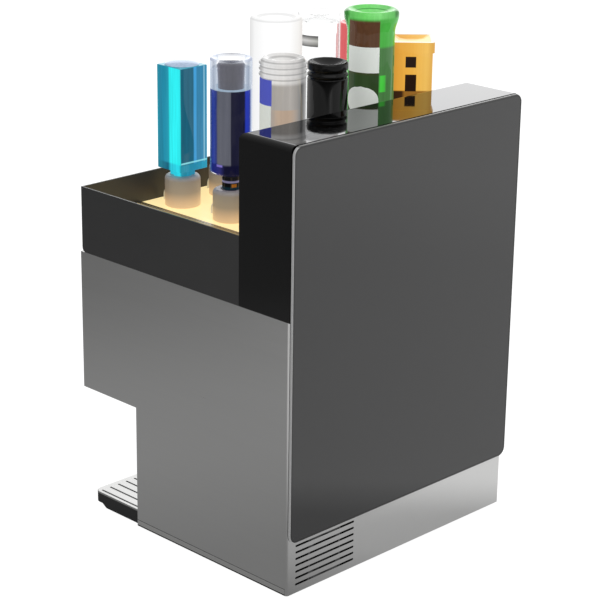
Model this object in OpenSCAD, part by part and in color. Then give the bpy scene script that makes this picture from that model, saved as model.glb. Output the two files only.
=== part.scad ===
// Cocktail dispenser: a free-standing counter machine with inverted bottles on a lit deck.
// Millimetres, +Z up, origin on the table under the middle of the object's box.
// The front (screen, nozzle, drip tray) faces -Y and the rear plate faces +Y.

/* [Body] */
// Outer width over the steel sides
body_w = 569; // [540:1:600]
// Depth of the steel body, front edge to back sheet
body_d = 540; // [520:1:580]
// Height of the rubber feet under the base
foot_h = 6; // [4:0.5:10]
// Height of the head's underside above the table
head_under = 241; // [225:1:260]
// Depth of the bay under the head, steel front to column
bay_d = 148; // [140:1:165]
// Height of the top of the steel body above the table
body_top = 505; // [495:1:530]
// Thickness of the stainless sheet
sheet_t = 1.5; // [1:0.1:2]
// Outer radius of the two bent rear corners
bend_r = 5; // [3:0.5:8]
// Height of the base strip that shows under each side
strip_h = 8.5; // [6:0.5:12]
// Gap between a side sheet and its base strip
seam_gap = 0.8; // [0.4:0.1:1.2]

/* [Head] */
// Thickness of the black front glass
glass_t = 5; // [3:0.5:6]
// Width of the touch display behind the glass
display_w = 262; // [220:1:300]
// Height of the touch display behind the glass
display_h = 166; // [140:1:180]
// Thickness of the touch display
display_t = 9; // [6:0.5:12]
// How far the nozzle hangs below the head
nozzle_drop = 14; // [8:1:20]
// Outer diameter of the nozzle
nozzle_d = 46; // [38:1:56]

/* [Bottle tray] */
// Height of the tray above the steel body
tray_h = 123; // [118:1:135]
// Setback of the tray's front from the steel front
tray_setback = 4.7; // [2:0.1:8]
// Wall of the tray
tray_wall = 3; // [2:0.5:4]
// Radius of the tray's lower front edge
tray_edge_r = 9; // [5:0.5:12]
// Height of the lit deck's top above the steel body
deck_up = 67; // [64:1:72]
// Thickness of the lit deck
deck_t = 3; // [2:0.5:4]
// Width of the ledge that carries the lit deck
ledge_w = 6; // [4:0.5:8]

/* [Bottle connectors] */
// Middle of the first column of connectors, from the machine's middle
column_x = 98; // [90:1:104]
// From the middle of the last column of connectors to the machine's side
column_side = 52.5; // [46:0.5:56]
// Middle of the front row of connectors, from the tray's front face
row_y = 65.4; // [62:0.2:72]
// From the middle of the last row of connectors to the hood
row_back = 87.9; // [84:0.1:96]
// Outer diameter of a connector
connector_d = 66; // [62:1:70]
// Height of a connector
connector_h = 58; // [54:1:62]
// Radius of a connector's top edge
connector_r = 8; // [4:0.5:10]
// Diameter of the socket for a bottle's neck
socket_d = 34; // [33:0.5:40]
// Depth of the socket
socket_depth = 38; // [34:1:44]
// Diameter of the feed hose beside a connector
hose_d = 5; // [4:0.5:6]
// Bend radius of the feed hose
hose_bend = 13; // [11:0.5:14]

/* [Spill strip] */
// Middle of the perforated strip beside the connectors, from the machine's middle
spill_x = 152.2; // [150:0.1:160]
// Width of the strip
spill_w = 11.5; // [10:0.5:14]
// Distance between its holes
spill_pitch = 7.3; // [6.5:0.1:8]
// Side of one hole
spill_hole = 3.6; // [3:0.1:4.5]

/* [Bottles] */
// Outer diameter of a bottle's neck
neck_d = 32; // [29:0.5:32.6]
// Bore of a bottle's neck
neck_bore = 20; // [18:0.5:22]
// How far a neck stands in its socket
neck_in = 30; // [24:1:32]
// Wall of the glass
bottle_wall = 3.5; // [2.5:0.5:4]
// Side of the square blue bottle
square_w = 68; // [64:1:72]
// Side of the square amber bottle
amber_w = 74; // [70:1:76]
// Diameter of the round blue bottle
blue_d = 76; // [70:1:80]
// Diameter of the frosted bottle
frosted_d = 98; // [90:1:100]
// Diameter of the ringed bottle
ringed_d = 86; // [80:1:88]
// Diameter of the clear bottle
clear_d = 78; // [72:1:82]
// Diameter of the red bottle
red_d = 76; // [70:1:80]
// Diameter of the black bottle
black_d = 78; // [72:1:82]
// Diameter of the green bottle's body
green_d = 92; // [86:1:94]

/* [Hood] */
// Depth of the black hood at the rear
hood_d = 122; // [110:1:126]
// Height of the hood above the steel body
hood_h = 300; // [285:1:315]
// Radius of the hood's top edges
hood_r = 11; // [8:0.5:14]
// Wall of the hood
hood_wall = 3; // [2:0.5:4]
// Width of the frame round the hood's service opening
hood_frame = 34; // [30:1:40]

/* [Rear plate] */
// How far the rear plate stands out past each side
plate_over = 1; // [0:0.5:2]
// Height of the plate's lower edge above the table
plate_bottom = 107; // [104:0.5:112]
// How far the plate's upper edge lies below the hood's top
plate_drop = 0.5; // [0:0.5:5]
// Thickness of the plate
plate_t = 5; // [4:0.5:6]
// Gap between the plate and the body
plate_gap = 3.2; // [2.5:0.1:5]
// Corner radius of the plate
plate_r = 12; // [9:0.5:16]
// Chamfer round the plate's outer face
plate_chamfer = 0.8; // [0.4:0.1:1.2]

/* [Vents] */
// Number of vent slots
vent_count = 7; // [5:1:7]
// Distance between vent slots
vent_pitch = 12.2; // [11:0.1:12.2]
// Height of one slot
vent_h = 4; // [3:0.5:5]
// Length of one slot
vent_len = 145.5; // [120:0.5:150]
// Distance from the slots' outer end to the side
vent_edge = 20.5; // [16:0.5:26]
// Height of the lowest slot's middle above the table
vent_z = 22; // [20:0.5:26]

/* [Drip tray] */
// Distance from the side of the body to the drip tray
drip_side = 8.5; // [5:0.5:14]
// Height of the grille's top above the table
drip_top = 32; // [30:0.5:36]
// Distance from the steel front to the drip tray's front
drip_setback = 13; // [8:0.5:18]
// Height of the tray's lower front edge above the table
drip_lift = 11; // [10:0.5:13]
// Corner radius of the drip tray
drip_r = 15; // [10:0.5:18]
// Wall of the drip tray
drip_wall = 2.5; // [2:0.5:4]
// Width of the drip tray's rim under the grille
drip_rim = 5; // [4:0.5:7]
// Thickness of the grille
grille_t = 3; // [2:0.5:4]
// Distance between grille slots
grille_pitch = 19.8; // [18:0.1:21]
// Width of one grille slot
grille_slot = 3; // [2.5:0.5:5]
// Distance from the grille's front and back edge to the slots
grille_edge = 14; // [12:0.5:18]

/* [Clearances] */
// Gap round a piece that lifts or slides
slide_gap = 0.5; // [0.4:0.1:0.8]
// Gap round a piece that is dropped in and fixed
fit_gap = 0.3; // [0.2:0.1:0.5]
// Radial gap of a running shaft
run_gap = 0.05; // [0.03:0.01:0.08]

/* [Hidden] */
$fn = 64;
half_w = body_w / 2;
inner_w = body_w - 2 * sheet_t;
// The plate stands behind the body, so the body's middle lies in front of the origin
body_y = -(plate_gap + plate_t) / 2;
front_y = body_y - body_d / 2;
back_y = body_y + body_d / 2;
back_in = back_y - sheet_t;
column_y = front_y + bay_d;
floor_z = foot_h + sheet_t;
glass_back = front_y + glass_t;
hood_y = back_y - hood_d;
hood_top = body_top + hood_h;
tray_y = front_y + tray_setback;
tray_rim = body_top + tray_h;
tray_in_w = body_w - 2 * tray_wall;
tray_in_front = tray_y + tray_wall;
tray_in_back = hood_y - tray_wall;
deck_z = body_top + deck_up;
deck_under = deck_z - deck_t;
connector_top = deck_z + connector_h;
mouth_z = connector_top - neck_in;
hose_out = 4;
hose_rise = 22;
columns = 4;
rows = 3;
column_pitch = (column_x + half_w - column_side) / (columns - 1);
row_pitch = (hood_y - tray_y - row_y - row_back) / (rows - 1);
nozzle_y = (front_y + column_y) / 2;
nozzle_low = head_under - nozzle_drop;
plate_w = body_w + 2 * plate_over;
plate_top = hood_top - plate_drop;
plate_h = plate_top - plate_bottom;
drip_w = body_w - 2 * drip_side;
drip_front = front_y + drip_setback;
drip_back = column_y - slide_gap;
drip_low = floor_z + slide_gap;
drip_rim_z = drip_top - grille_t;

// Places of connectors and bottles
function place_x(col) = column_x - col * column_pitch;
function place_y(row) = tray_y + row_y + row * row_pitch;
function hose_y(row) = place_y(row) - connector_d / 2 - hose_out - hose_bend;

// Points of an arc round (cx, cy), for outlines that are turned or extruded
function arc(cx, cy, r, a0, a1, n = 6) =
    [for (i = [0:n]) [cx + r * cos(a0 + (a1 - a0) * i / n), cy + r * sin(a0 + (a1 - a0) * i / n)]];

// Points of a smooth shoulder from radius r0 at z0 to radius r1 at z1
function shoulder(r0, z0, r1, z1, n = 10) =
    [for (i = [0:n]) [r0 + (r1 - r0) * (1 - cos(180 * i / n)) / 2, z0 + (z1 - z0) * i / n]];

// Plain helpers
module box(x0, x1, y0, y1, z0, z1) {
    translate([x0, y0, z0]) cube([x1 - x0, y1 - y0, z1 - z0]);
}
module bar_x(x0, x1, y, z, d) {
    translate([x0, y, z]) rotate([0, 90, 0]) cylinder(d = d, h = x1 - x0);
}
module bar_y(x, y0, y1, z, d) {
    translate([x, y1, z]) rotate([90, 0, 0]) cylinder(d = d, h = y1 - y0);
}
module bar_z(x, y, z0, z1, d) {
    translate([x, y, z0]) cylinder(d = d, h = z1 - z0);
}
// Rectangle with round corners, centred; r2 is the radius of the lower two
module round_rect(w, h, r, r2) {
    for (s = [-1, 1]) {
        translate([s * (w / 2 - r), h / 2 - r]) circle(r);
        translate([s * (w / 2 - r2), -h / 2 + r2]) circle(r2);
    }
    translate([-w / 2 + r, 0]) square([w - 2 * r, h / 2]);
    translate([-w / 2 + r2, -h / 2]) square([w - 2 * r2, h / 2]);
    translate([-w / 2, -h / 2 + r2]) square([w, h - r - r2]);
}

// ---- Base and steel body ----

// The drip tray's skirt runs round the shelf that the tray slides on
skirt_front = drip_front + 21;
skirt_back = drip_front + 33;
skirt_low = 3.5;
skirt_t = 6;
skirt_in = 1;
shelf_w = drip_w - 2 * (skirt_in + skirt_t + 2);
shelf_front = skirt_back + 4;
foot_d = 34;
foot_x = shelf_w / 2 - foot_d / 2 - 3;
foot_front = shelf_front + foot_d / 2 + 5;
foot_back = back_y - foot_d;
module each_foot() {
    for (x = [-foot_x, foot_x], y = [foot_front, foot_back]) translate([x, y, 0]) children();
}
foot_screw_d = 5;
foot_head_d = 9;
foot_head_h = 2;
foot_recess = 3.4;
foot_edge_r = 1.5;
// Each foot hides its screw's head in a recess; the screw threads into the pan from below
module rubber_feet() {
    r = foot_head_d / 2 + 1;
    color("#1c1c1c") each_foot() rotate_extrude() polygon(concat(
        [[r, 0]], arc(foot_d / 2 - foot_edge_r, foot_edge_r, foot_edge_r, -90, 0),
        [[foot_d / 2, foot_h], [foot_screw_d / 2 + fit_gap, foot_h],
         [foot_screw_d / 2 + fit_gap, foot_recess], [r, foot_recess]]));
}
module foot_screws() {
    color("#b8b8b8") each_foot() {
        translate([0, 0, foot_recess]) cylinder(d = foot_screw_d, h = floor_z - foot_recess);
        translate([0, 0, foot_recess - foot_head_h]) cylinder(d = foot_head_d, h = foot_head_h);
    }
}

strip_end = back_y - bend_r;
module base_pan() {
    color("#8a8a87") difference() {
        union() {
            box(-inner_w / 2, inner_w / 2, column_y, back_in, foot_h, floor_z);
            box(-shelf_w / 2, shelf_w / 2, shelf_front, column_y, foot_h, floor_z);
            for (s = [-1, 1]) translate([s * (half_w - sheet_t / 2), 0, 0])
                box(-sheet_t / 2, sheet_t / 2, column_y, strip_end, foot_h, foot_h + strip_h - seam_gap);
        }
        each_foot() translate([0, 0, foot_h - 1]) cylinder(d = foot_screw_d, h = sheet_t + 2);
        for (s = [-1, 1]) translate([s * inner_w / 2, back_in, foot_h + sheet_t / 2])
            cube([2 * bend_r, 2 * bend_r, sheet_t + 1], center = true);
    }
}

// Plan of the wrapped sheet: a U that is open to the front, with round rear corners
module wrap_plan(inset) {
    r = bend_r - inset;
    w = body_w - 2 * inset;
    translate([-w / 2, front_y - inset]) square([w, back_y - bend_r - front_y + inset]);
    translate([-w / 2 + r, front_y]) square([w - 2 * r, body_d - inset]);
    for (s = [-1, 1]) translate([s * (half_w - bend_r), back_y - bend_r]) circle(r);
}
module vent_slots() {
    x1 = half_w - vent_edge;
    for (i = [0:vent_count - 1]) translate([0, back_y, vent_z + i * vent_pitch]) {
        box(x1 - vent_len + vent_h / 2, x1 - vent_h / 2, -2 * sheet_t, sheet_t, -vent_h / 2, vent_h / 2);
        for (x = [x1 - vent_len + vent_h / 2, x1 - vent_h / 2])
            bar_y(x, -2 * sheet_t, sheet_t, 0, vent_h);
    }
}
inlet_y = back_y - 70;
inlet_z = 70;
inlet_cut_w = 50;
inlet_cut_h = 60;
module body_wrap() {
    color("#b9b9b6") difference() {
        translate([0, 0, foot_h]) linear_extrude(body_top - foot_h) difference() {
            wrap_plan(0);
            wrap_plan(sheet_t);
        }
        // the bay under the head, open to the front and both sides
        box(-body_w, body_w, front_y - 1, column_y, 0, head_under);
        // the sides end above the base strips
        for (s = [-1, 1]) translate([s * half_w, 0, 0])
            box(-2 * sheet_t, 2 * sheet_t, front_y - 1, strip_end, 0, foot_h + strip_h);
        vent_slots();
        // cut-out for the power inlet, low on the far side
        translate([-half_w, inlet_y, inlet_z])
            cube([4 * sheet_t, inlet_cut_w, inlet_cut_h], center = true);
    }
}
splash_up = 20;
module splash_panel() {
    color("#b9b9b6") box(-inner_w / 2, inner_w / 2, column_y, column_y + sheet_t,
        floor_z, head_under + sheet_t + splash_up);
}
module head_floor() {
    color("#a9a9a6") difference() {
        box(-inner_w / 2, inner_w / 2, glass_back, column_y, head_under, head_under + sheet_t);
        translate([0, nozzle_y, head_under - 1]) cylinder(d = nozzle_d + 2 * fit_gap, h = sheet_t + 2);
    }
}
pipe_d = 14;
pipe_bore = 10;
pipe_z = body_top - 22;
module top_plate() {
    color("#a9a9a6") difference() {
        box(-inner_w / 2, inner_w / 2, glass_back, back_in, body_top - sheet_t, body_top);
        for (s = [-1, 1]) translate([s * inner_w / 2, back_in, body_top])
            cube([2 * bend_r, 2 * bend_r, 4 * sheet_t], center = true);
        for (col = [0:columns - 1], row = [0:rows - 1])
            translate([place_x(col), hose_y(row), body_top - 2 * sheet_t])
                cylinder(d = hose_d + 2 * fit_gap, h = 3 * sheet_t);
    }
}

// ---- Head: front glass, display, nozzle ----

display_z = (head_under + body_top) / 2;
display_back_t = 3;
display_back_in = 12;
module front_glass() {
    color("#0c0c0d") box(-inner_w / 2, inner_w / 2, front_y, glass_back, head_under, body_top);
}
module display_module() {
    w = display_w / 2;
    h = display_h / 2;
    y = display_t - display_back_t;
    color("#1b2430") translate([0, glass_back, display_z]) {
        box(-w, w, 0, y, -h, h);
        box(-w + display_back_in, w - display_back_in, y, display_t,
            -h + display_back_in, h - display_back_in);
    }
}
bracket_t = 2;
bracket_leg = 24;
bracket_bar = 30;
bracket_x = display_w * 0.3;
module display_bracket() {
    z0 = head_under + sheet_t;
    h = bracket_leg / 2;
    color("#8f8f8c") translate([0, glass_back + display_t, 0]) {
        for (s = [-1, 1]) translate([s * bracket_x, 0, 0]) {
            box(-h, h, 0, bracket_t, z0, display_z + display_h / 2);
            box(-h, h, bracket_t, bracket_leg, z0, z0 + bracket_t);
        }
        box(-bracket_x + h, bracket_x - h, 0, bracket_t,
            display_z - bracket_bar / 2, display_z + bracket_bar / 2);
    }
}
tube_d = 8;
tube_bore = 5;
nozzle_flange = 8;
nozzle_flange_t = 4;
nozzle_edge_r = 4;
nozzle_neck = 4;
nozzle_neck_h = 12;
nozzle_ports = 6;
nozzle_port_d = 3;
nozzle_port_h = 7;
module nozzle_block() {
    z = head_under + sheet_t;
    r = nozzle_d / 2;
    r_neck = tube_d / 2 + nozzle_neck;
    color("#2a2a2a") translate([0, nozzle_y, 0]) difference() {
        rotate_extrude() polygon(concat(
            [[tube_bore / 2, nozzle_low]],
            arc(r - nozzle_edge_r, nozzle_low + nozzle_edge_r, nozzle_edge_r, -90, 0),
            [[r, z], [r + nozzle_flange, z], [r + nozzle_flange, z + nozzle_flange_t],
             [r_neck, z + nozzle_flange_t], [r_neck, z + nozzle_neck_h],
             [tube_bore / 2, z + nozzle_neck_h]]));
        for (i = [0:nozzle_ports - 1]) rotate(i * 360 / nozzle_ports)
            translate([r / 2, 0, nozzle_low - 1]) cylinder(d = nozzle_port_d, h = nozzle_port_h + 1);
    }
}
light_r = nozzle_d / 2 + 10;
light_w = 7;
light_t = 2;
module bay_light() {
    color("#fff3d0") translate([0, nozzle_y, head_under - light_t]) difference() {
        cylinder(r = light_r + light_w, h = light_t);
        translate([0, 0, -1]) cylinder(r = light_r, h = light_t + 2);
    }
}

// ---- Bottle tray, lit deck and its supports ----

module bottle_tray() {
    color("#1d1d1d") difference() {
        translate([-half_w, 0, 0]) rotate([90, 0, 90]) linear_extrude(body_w) difference() {
            translate([tray_y, body_top]) square([hood_y - tray_y, tray_h]);
            // round the lower front edge away
            difference() {
                translate([tray_y - 1, body_top - 1]) square(tray_edge_r + 1);
                translate([tray_y + tray_edge_r, body_top + tray_edge_r]) circle(tray_edge_r);
            }
        }
        box(-tray_in_w / 2, tray_in_w / 2, tray_in_front, tray_in_back, deck_under, tray_rim + 1);
        box(-tray_in_w / 2 + ledge_w, tray_in_w / 2 - ledge_w, tray_in_front + ledge_w,
            tray_in_back - ledge_w, deck_under - ledge_t - 1, deck_under + 1);
        translate([-tray_in_w / 2, 0, 0]) rotate([90, 0, 90]) linear_extrude(tray_in_w) tray_underside();
    }
}
ledge_t = 4;
tray_foot = 1;
// Space under the ledge, seen from the side; its front follows the rounded outer edge
module tray_underside() {
    y = tray_y + tray_edge_r;
    z = body_top + tray_edge_r;
    r = tray_edge_r - tray_wall;
    translate([y, z]) circle(r);
    translate([y - r, z]) square([tray_in_back - y + r, deck_under - ledge_t - z]);
    translate([y, z - r]) square([tray_in_back - y, r]);
    translate([y + tray_foot, body_top - 1]) square([tray_in_back - y - tray_foot, tray_edge_r]);
}
module lit_deck() {
    color("#ffefb4") difference() {
        box(-tray_in_w / 2 + fit_gap, tray_in_w / 2 - fit_gap, tray_in_front + fit_gap,
            tray_in_back - fit_gap, deck_under, deck_z);
        for (col = [0:columns - 1], row = [0:rows - 1])
            translate([place_x(col), hose_y(row), deck_under - 1])
                cylinder(d = hose_d + 2 * fit_gap, h = deck_t + 2);
    }
}
module spill_strip() {
    y0 = tray_in_front + fit_gap;
    y1 = tray_in_back - fit_gap;
    n = floor((y1 - y0) / spill_pitch) - 1;
    color("#8c8264") difference() {
        box(spill_x - spill_w / 2, spill_x + spill_w / 2, y0, y1, deck_z, deck_z + sheet_t);
        for (i = [0:n - 1])
            translate([spill_x, (y0 + y1) / 2 + (i - (n - 1) / 2) * spill_pitch, deck_z + sheet_t / 2])
                cube([spill_hole, spill_hole, 2 * sheet_t], center = true);
    }
}
rail_w = 30;
rail_x = half_w - 20;
module deck_rails() {
    color("#8f8f8c") for (row = [0:rows - 1]) translate([0, place_y(row), 0]) difference() {
        box(-rail_x, rail_x, -rail_w / 2, rail_w / 2, body_top, deck_under);
        box(-rail_x - 1, rail_x + 1, -rail_w / 2 + sheet_t, rail_w / 2 - sheet_t,
            body_top - 1, deck_under - sheet_t);
    }
}
led_count = 16;
led_pitch = (tray_in_w - 50) / led_count;
led_gap_y = rail_w / 2 + 20;
module light_strips() {
    for (row = [0:rows - 1]) translate([0, place_y(row) + led_gap_y, body_top]) {
        color("#e8e8e0") box(-(led_count * led_pitch) / 2, led_count * led_pitch / 2, -6, 6, 0, 1.6);
        color("#fff6c8") for (i = [0:led_count - 1])
            translate([(i - (led_count - 1) / 2) * led_pitch, 0, 1.6])
                translate([-2.5, -2.5, 0]) cube([5, 5, 1.4]);
    }
}

// ---- Bottle connectors and feed ----

spigot_d = 10;
spigot_h = 12;
module connector() {
    r = connector_d / 2;
    s = socket_d / 2;
    seat = connector_h - socket_depth;
    rotate_extrude() polygon(concat(
        [[0, 0], [r - 1, 0], [r, 1]],
        arc(r - connector_r, connector_h - connector_r, connector_r, 0, 90, 8),
        [[s + 2, connector_h], [s, connector_h - 3], [s, seat], [spigot_d / 2, seat],
         [spigot_d / 2 - 1, seat + spigot_h], [0, seat + spigot_h]]));
}
module connector_row(row) {
    color("#9a9288") for (col = [0:columns - 1]) difference() {
        translate([place_x(col), place_y(row), deck_z]) connector();
        bar_y(place_x(col), place_y(row) - connector_d, place_y(row) - connector_d / 2 + 6,
            deck_z + hose_rise, hose_d);
    }
}
module front_connectors() { connector_row(0); }
module middle_connectors() { connector_row(1); }
module rear_connectors() { connector_row(2); }

// The valve's body and coil stand a little behind its ports
valve_shift = 4.5;
valve_w = 19;
valve_base = 16;
coil_d = 18;
coil_h = 30;
valve_top = body_top + valve_base + coil_h;
module feed_hoses() {
    color("#f4f4f0") for (col = [0:columns - 1], row = [0:rows - 1]) translate([place_x(col), 0, 0]) {
        y_bend = hose_y(row) + hose_bend;
        z_low = deck_z + hose_rise - hose_bend;
        bar_y(0, y_bend, place_y(row) - connector_d / 2 + 6, deck_z + hose_rise, hose_d);
        translate([0, y_bend, z_low]) rotate([90, 0, -90]) rotate_extrude(angle = 90)
            translate([hose_bend, 0]) circle(d = hose_d, $fn = 24);
        bar_z(0, hose_y(row), valve_top, z_low, hose_d);
    }
}
module feed_valves() {
    color("#3a3a3a") for (col = [0:columns - 1], row = [0:rows - 1])
        translate([place_x(col), hose_y(row), body_top]) {
            translate([-valve_w / 2, valve_shift - valve_w / 2, 0])
                cube([valve_w, valve_w, valve_base]);
            translate([0, valve_shift, 0]) cylinder(d = coil_d, h = valve_base + coil_h);
            translate([0, 0, pipe_z + pipe_d / 2 - body_top - 3])
                cylinder(d = hose_d, h = body_top - pipe_z);
        }
}
pipe_end = 12;
spine_x = 0;
module collector_manifold() {
    x0 = place_x(columns - 1) - pipe_end;
    x1 = place_x(0) + pipe_end;
    color("#dcdcd6") difference() {
        union() {
            for (row = [0:rows - 1]) bar_x(x0, x1, hose_y(row), pipe_z, pipe_d);
            bar_y(spine_x, hose_y(0), hose_y(rows - 1), pipe_z, pipe_d);
            bar_z(spine_x, nozzle_y, pipe_z - pipe_d, pipe_z, pipe_d);
        }
        for (row = [0:rows - 1]) bar_x(x0 + 2, x1 - 2, hose_y(row), pipe_z, pipe_bore);
        bar_y(spine_x, hose_y(0), hose_y(rows - 1), pipe_z, pipe_bore);
        bar_z(spine_x, nozzle_y, pipe_z - pipe_d - 1, pipe_z, tube_d);
        for (col = [0:columns - 1], row = [0:rows - 1])
            bar_z(place_x(col), hose_y(row), pipe_z, pipe_z + pipe_d, hose_d);
    }
}

// ---- Metering pump in the head ----

pump_x = -62;
pump_z = (head_under + body_top) / 2 - 23;
track_r = 28;
elbow_r = 15;
housing_t = 22;
housing_r = track_r + tube_d / 2 + 6;
shaft_d = 6;
stand_t = 3;
module pump_axis() {
    translate([pump_x, nozzle_y, pump_z]) rotate([90, 0, 0]) children();
}
module delivery_tube() {
    color("#e9e2cf") difference() {
        tube_run(tube_d);
        tube_run(tube_bore);
    }
}
module tube_run(d) {
    e = d < tube_d ? 1 : 0;
    bar_z(spine_x, nozzle_y, pump_z + track_r + elbow_r, pipe_z - pipe_d + 8 + e, d);
    translate([spine_x - elbow_r, nozzle_y, pump_z + track_r + elbow_r]) rotate([90, 0, 0])
        rotate([0, 0, -90]) rotate_extrude(angle = 90) translate([elbow_r, 0]) circle(d = d, $fn = 32);
    bar_x(pump_x, spine_x - elbow_r, nozzle_y, pump_z + track_r, d);
    pump_axis() rotate([0, 0, 90]) rotate_extrude(angle = 180)
        translate([track_r, 0]) circle(d = d, $fn = 32);
    bar_x(pump_x, spine_x - elbow_r, nozzle_y, pump_z - track_r, d);
    translate([spine_x - elbow_r, nozzle_y, pump_z - track_r - elbow_r]) rotate([90, 0, 0])
        rotate_extrude(angle = 90) translate([elbow_r, 0]) circle(d = d, $fn = 32);
    bar_z(spine_x, nozzle_y, head_under + sheet_t + nozzle_neck_h - e, pump_z - track_r - elbow_r, d);
}
module pump_housing() {
    color("#2c2c2e") difference() {
        pump_axis() translate([0, 0, -housing_t / 2]) difference() {
            union() {
                cylinder(r = housing_r, h = housing_t);
                translate([0, -housing_r, 0]) cube([housing_r - 8, 2 * housing_r, housing_t]);
            }
            translate([0, 0, 4]) cylinder(r = track_r + tube_d / 2, h = housing_t);
            translate([0, -track_r - tube_d / 2, 4])
                cube([housing_r, 2 * track_r + tube_d, housing_t]);
            translate([0, 0, -1]) cylinder(d = 16, h = housing_t);
        }
    }
}
rotor_r = track_r - tube_d / 2 - fit_gap;
roller_d = 13;
roller_n = 3;
rotor_t = 10;
module pump_rotor() {
    color("#d8d8d2") pump_axis() difference() {
        union() {
            for (z = [-rotor_t / 2, rotor_t / 2 - 2]) translate([0, 0, z]) cylinder(r = rotor_r - 4, h = 2);
            translate([0, 0, -rotor_t / 2]) cylinder(d = 14, h = rotor_t);
            for (i = [0:roller_n - 1]) rotate(i * 360 / roller_n)
                translate([rotor_r - roller_d / 2, 0, -rotor_t / 2 + 2])
                    cylinder(d = roller_d, h = rotor_t - 4);
        }
        translate([0, 0, -rotor_t]) cylinder(d = shaft_d, h = 2 * rotor_t);
    }
}
motor_d = 42;
motor_h = 58;
motor_boss_d = 15;
shaft_in = 12;
shaft_end = 2;
module pump_shaft() {
    color("#c9c9c9") pump_axis() translate([0, 0, -housing_t / 2 - stand_t - shaft_in])
        cylinder(d = shaft_d, h = shaft_in + stand_t + housing_t / 2 + rotor_t / 2);
}
module pump_motor() {
    color("#9a9a98") pump_axis() translate([0, 0, -housing_t / 2 - stand_t - motor_h]) difference() {
        union() {
            cylinder(d = motor_d, h = motor_h);
            translate([0, 0, motor_h]) cylinder(d = motor_boss_d, h = stand_t);
        }
        translate([0, 0, motor_h - shaft_in - shaft_end])
            cylinder(r = shaft_d / 2 + run_gap, h = shaft_in + shaft_end + stand_t + 1);
    }
}
stand_w = 64;
stand_foot = 28;
stand_over = 40;
module pump_bracket() {
    y0 = nozzle_y + housing_t / 2;
    z0 = head_under + sheet_t;
    color("#8f8f8c") difference() {
        translate([pump_x, y0, 0]) {
            box(-stand_w / 2, stand_w / 2, 0, stand_t, z0, pump_z + stand_over);
            box(-stand_w / 2, stand_w / 2, stand_t, stand_t + stand_foot, z0, z0 + stand_t);
        }
        bar_y(pump_x, nozzle_y, y0 + 2 * stand_t, pump_z, motor_boss_d + 2 * fit_gap);
    }
}
module pump_cover() {
    color("#c8d4dc") pump_axis() translate([0, 0, housing_t / 2]) union() {
        cylinder(r = housing_r, h = 2);
        translate([0, -housing_r, 0]) cube([housing_r - 8, 2 * housing_r, 2]);
    }
}

// ---- Hood and rear plate ----

module hood_body(inset) {
    r = hood_r - inset;
    // front and top seen from the side
    module side_profile() {
        translate([hood_y + inset, body_top - inset]) square([hood_d - 2 * inset, hood_h - r]);
        translate([hood_y + inset + r, body_top]) square([hood_d - 2 * inset - r, hood_h - inset]);
        translate([hood_y + inset + r, hood_top - inset - r]) circle(r);
    }
    // sides and top seen from the rear
    module rear_profile() {
        w = body_w - 2 * inset;
        translate([-w / 2, body_top - inset]) square([w, hood_h - r]);
        translate([-w / 2 + r, body_top]) square([w - 2 * r, hood_h - inset]);
        for (s = [-1, 1]) translate([s * (w / 2 - r), hood_top - inset - r]) circle(r);
    }
    intersection() {
        translate([-body_w, 0, 0]) rotate([90, 0, 90]) linear_extrude(2 * body_w) side_profile();
        translate([0, back_y + 1, 0]) rotate([90, 0, 0]) linear_extrude(body_d) rear_profile();
    }
}
module hood_shell() {
    color("#141414") difference() {
        hood_body(0);
        hood_body(hood_wall);
        // service opening behind the rear plate
        box(-half_w + hood_frame, half_w - hood_frame, back_y - 2 * hood_wall, back_y + 1,
            body_top + hood_frame, hood_top - hood_frame);
    }
}
module rear_plate() {
    c = plate_chamfer;
    color("#4a4a4b") translate([0, back_y + plate_gap, (plate_top + plate_bottom) / 2])
        rotate([90, 0, 180]) {
            linear_extrude(plate_t - c) round_rect(plate_w, plate_h, plate_r, plate_r * 0.6);
            hull() for (k = [0, 1]) translate([0, 0, plate_t - c + k * (c - 0.05)])
                linear_extrude(0.05) round_rect(plate_w - 2 * c * k, plate_h - 2 * c * k,
                    plate_r - c * k, plate_r * 0.6 - c * k, $fn = 32);
        }
}
standoff_d = 18;
standoff_in = 28;
module plate_standoffs() {
    color("#3a3a3a") for (x = [-1, 1] * (half_w - standoff_d),
            z = [plate_bottom + standoff_in, (plate_bottom + body_top) / 2,
                 body_top + standoff_d, hood_top - standoff_in])
        bar_y(x, back_y, back_y + plate_gap, z, standoff_d);
}

// ---- Electronics in the hood ----

carrier_y = hood_y + hood_d / 2;
carrier_t = 2;
carrier_side = 54.5;
carrier_over = 40;
carrier_foot = 20;
mid_z = (body_top + hood_top) / 2;
module electronics_plate() {
    w = half_w - carrier_side;
    color("#a9a9a6") {
        box(-w, w, carrier_y, carrier_y + carrier_t, body_top, hood_top - carrier_over);
        box(-w, w, carrier_y + carrier_t, carrier_y + carrier_t + carrier_foot,
            body_top, body_top + carrier_t);
    }
}
board_w = 180;
board_h = 120;
board_t = 1.6;
board_x = 110;
board_hole = 3.2;
board_hole_in = 6;
stand_d = 6;
stand_h = 8;
module at_board_corners() {
    for (x = [-1, 1] * (board_w / 2 - board_hole_in), z = [-1, 1] * (board_h / 2 - board_hole_in))
        translate([board_x + x, carrier_y + carrier_t, mid_z + z]) rotate([-90, 0, 0]) children();
}
module board_standoffs() {
    color("#c8b060") at_board_corners() cylinder(d = stand_d, h = stand_h, $fn = 6);
}
chip_w = 36;
chip_t = 3;
plug_n = 6;
plug_pitch = 26;
plug_w = 18;
plug_h = 10;
plug_in = 12;
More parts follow.
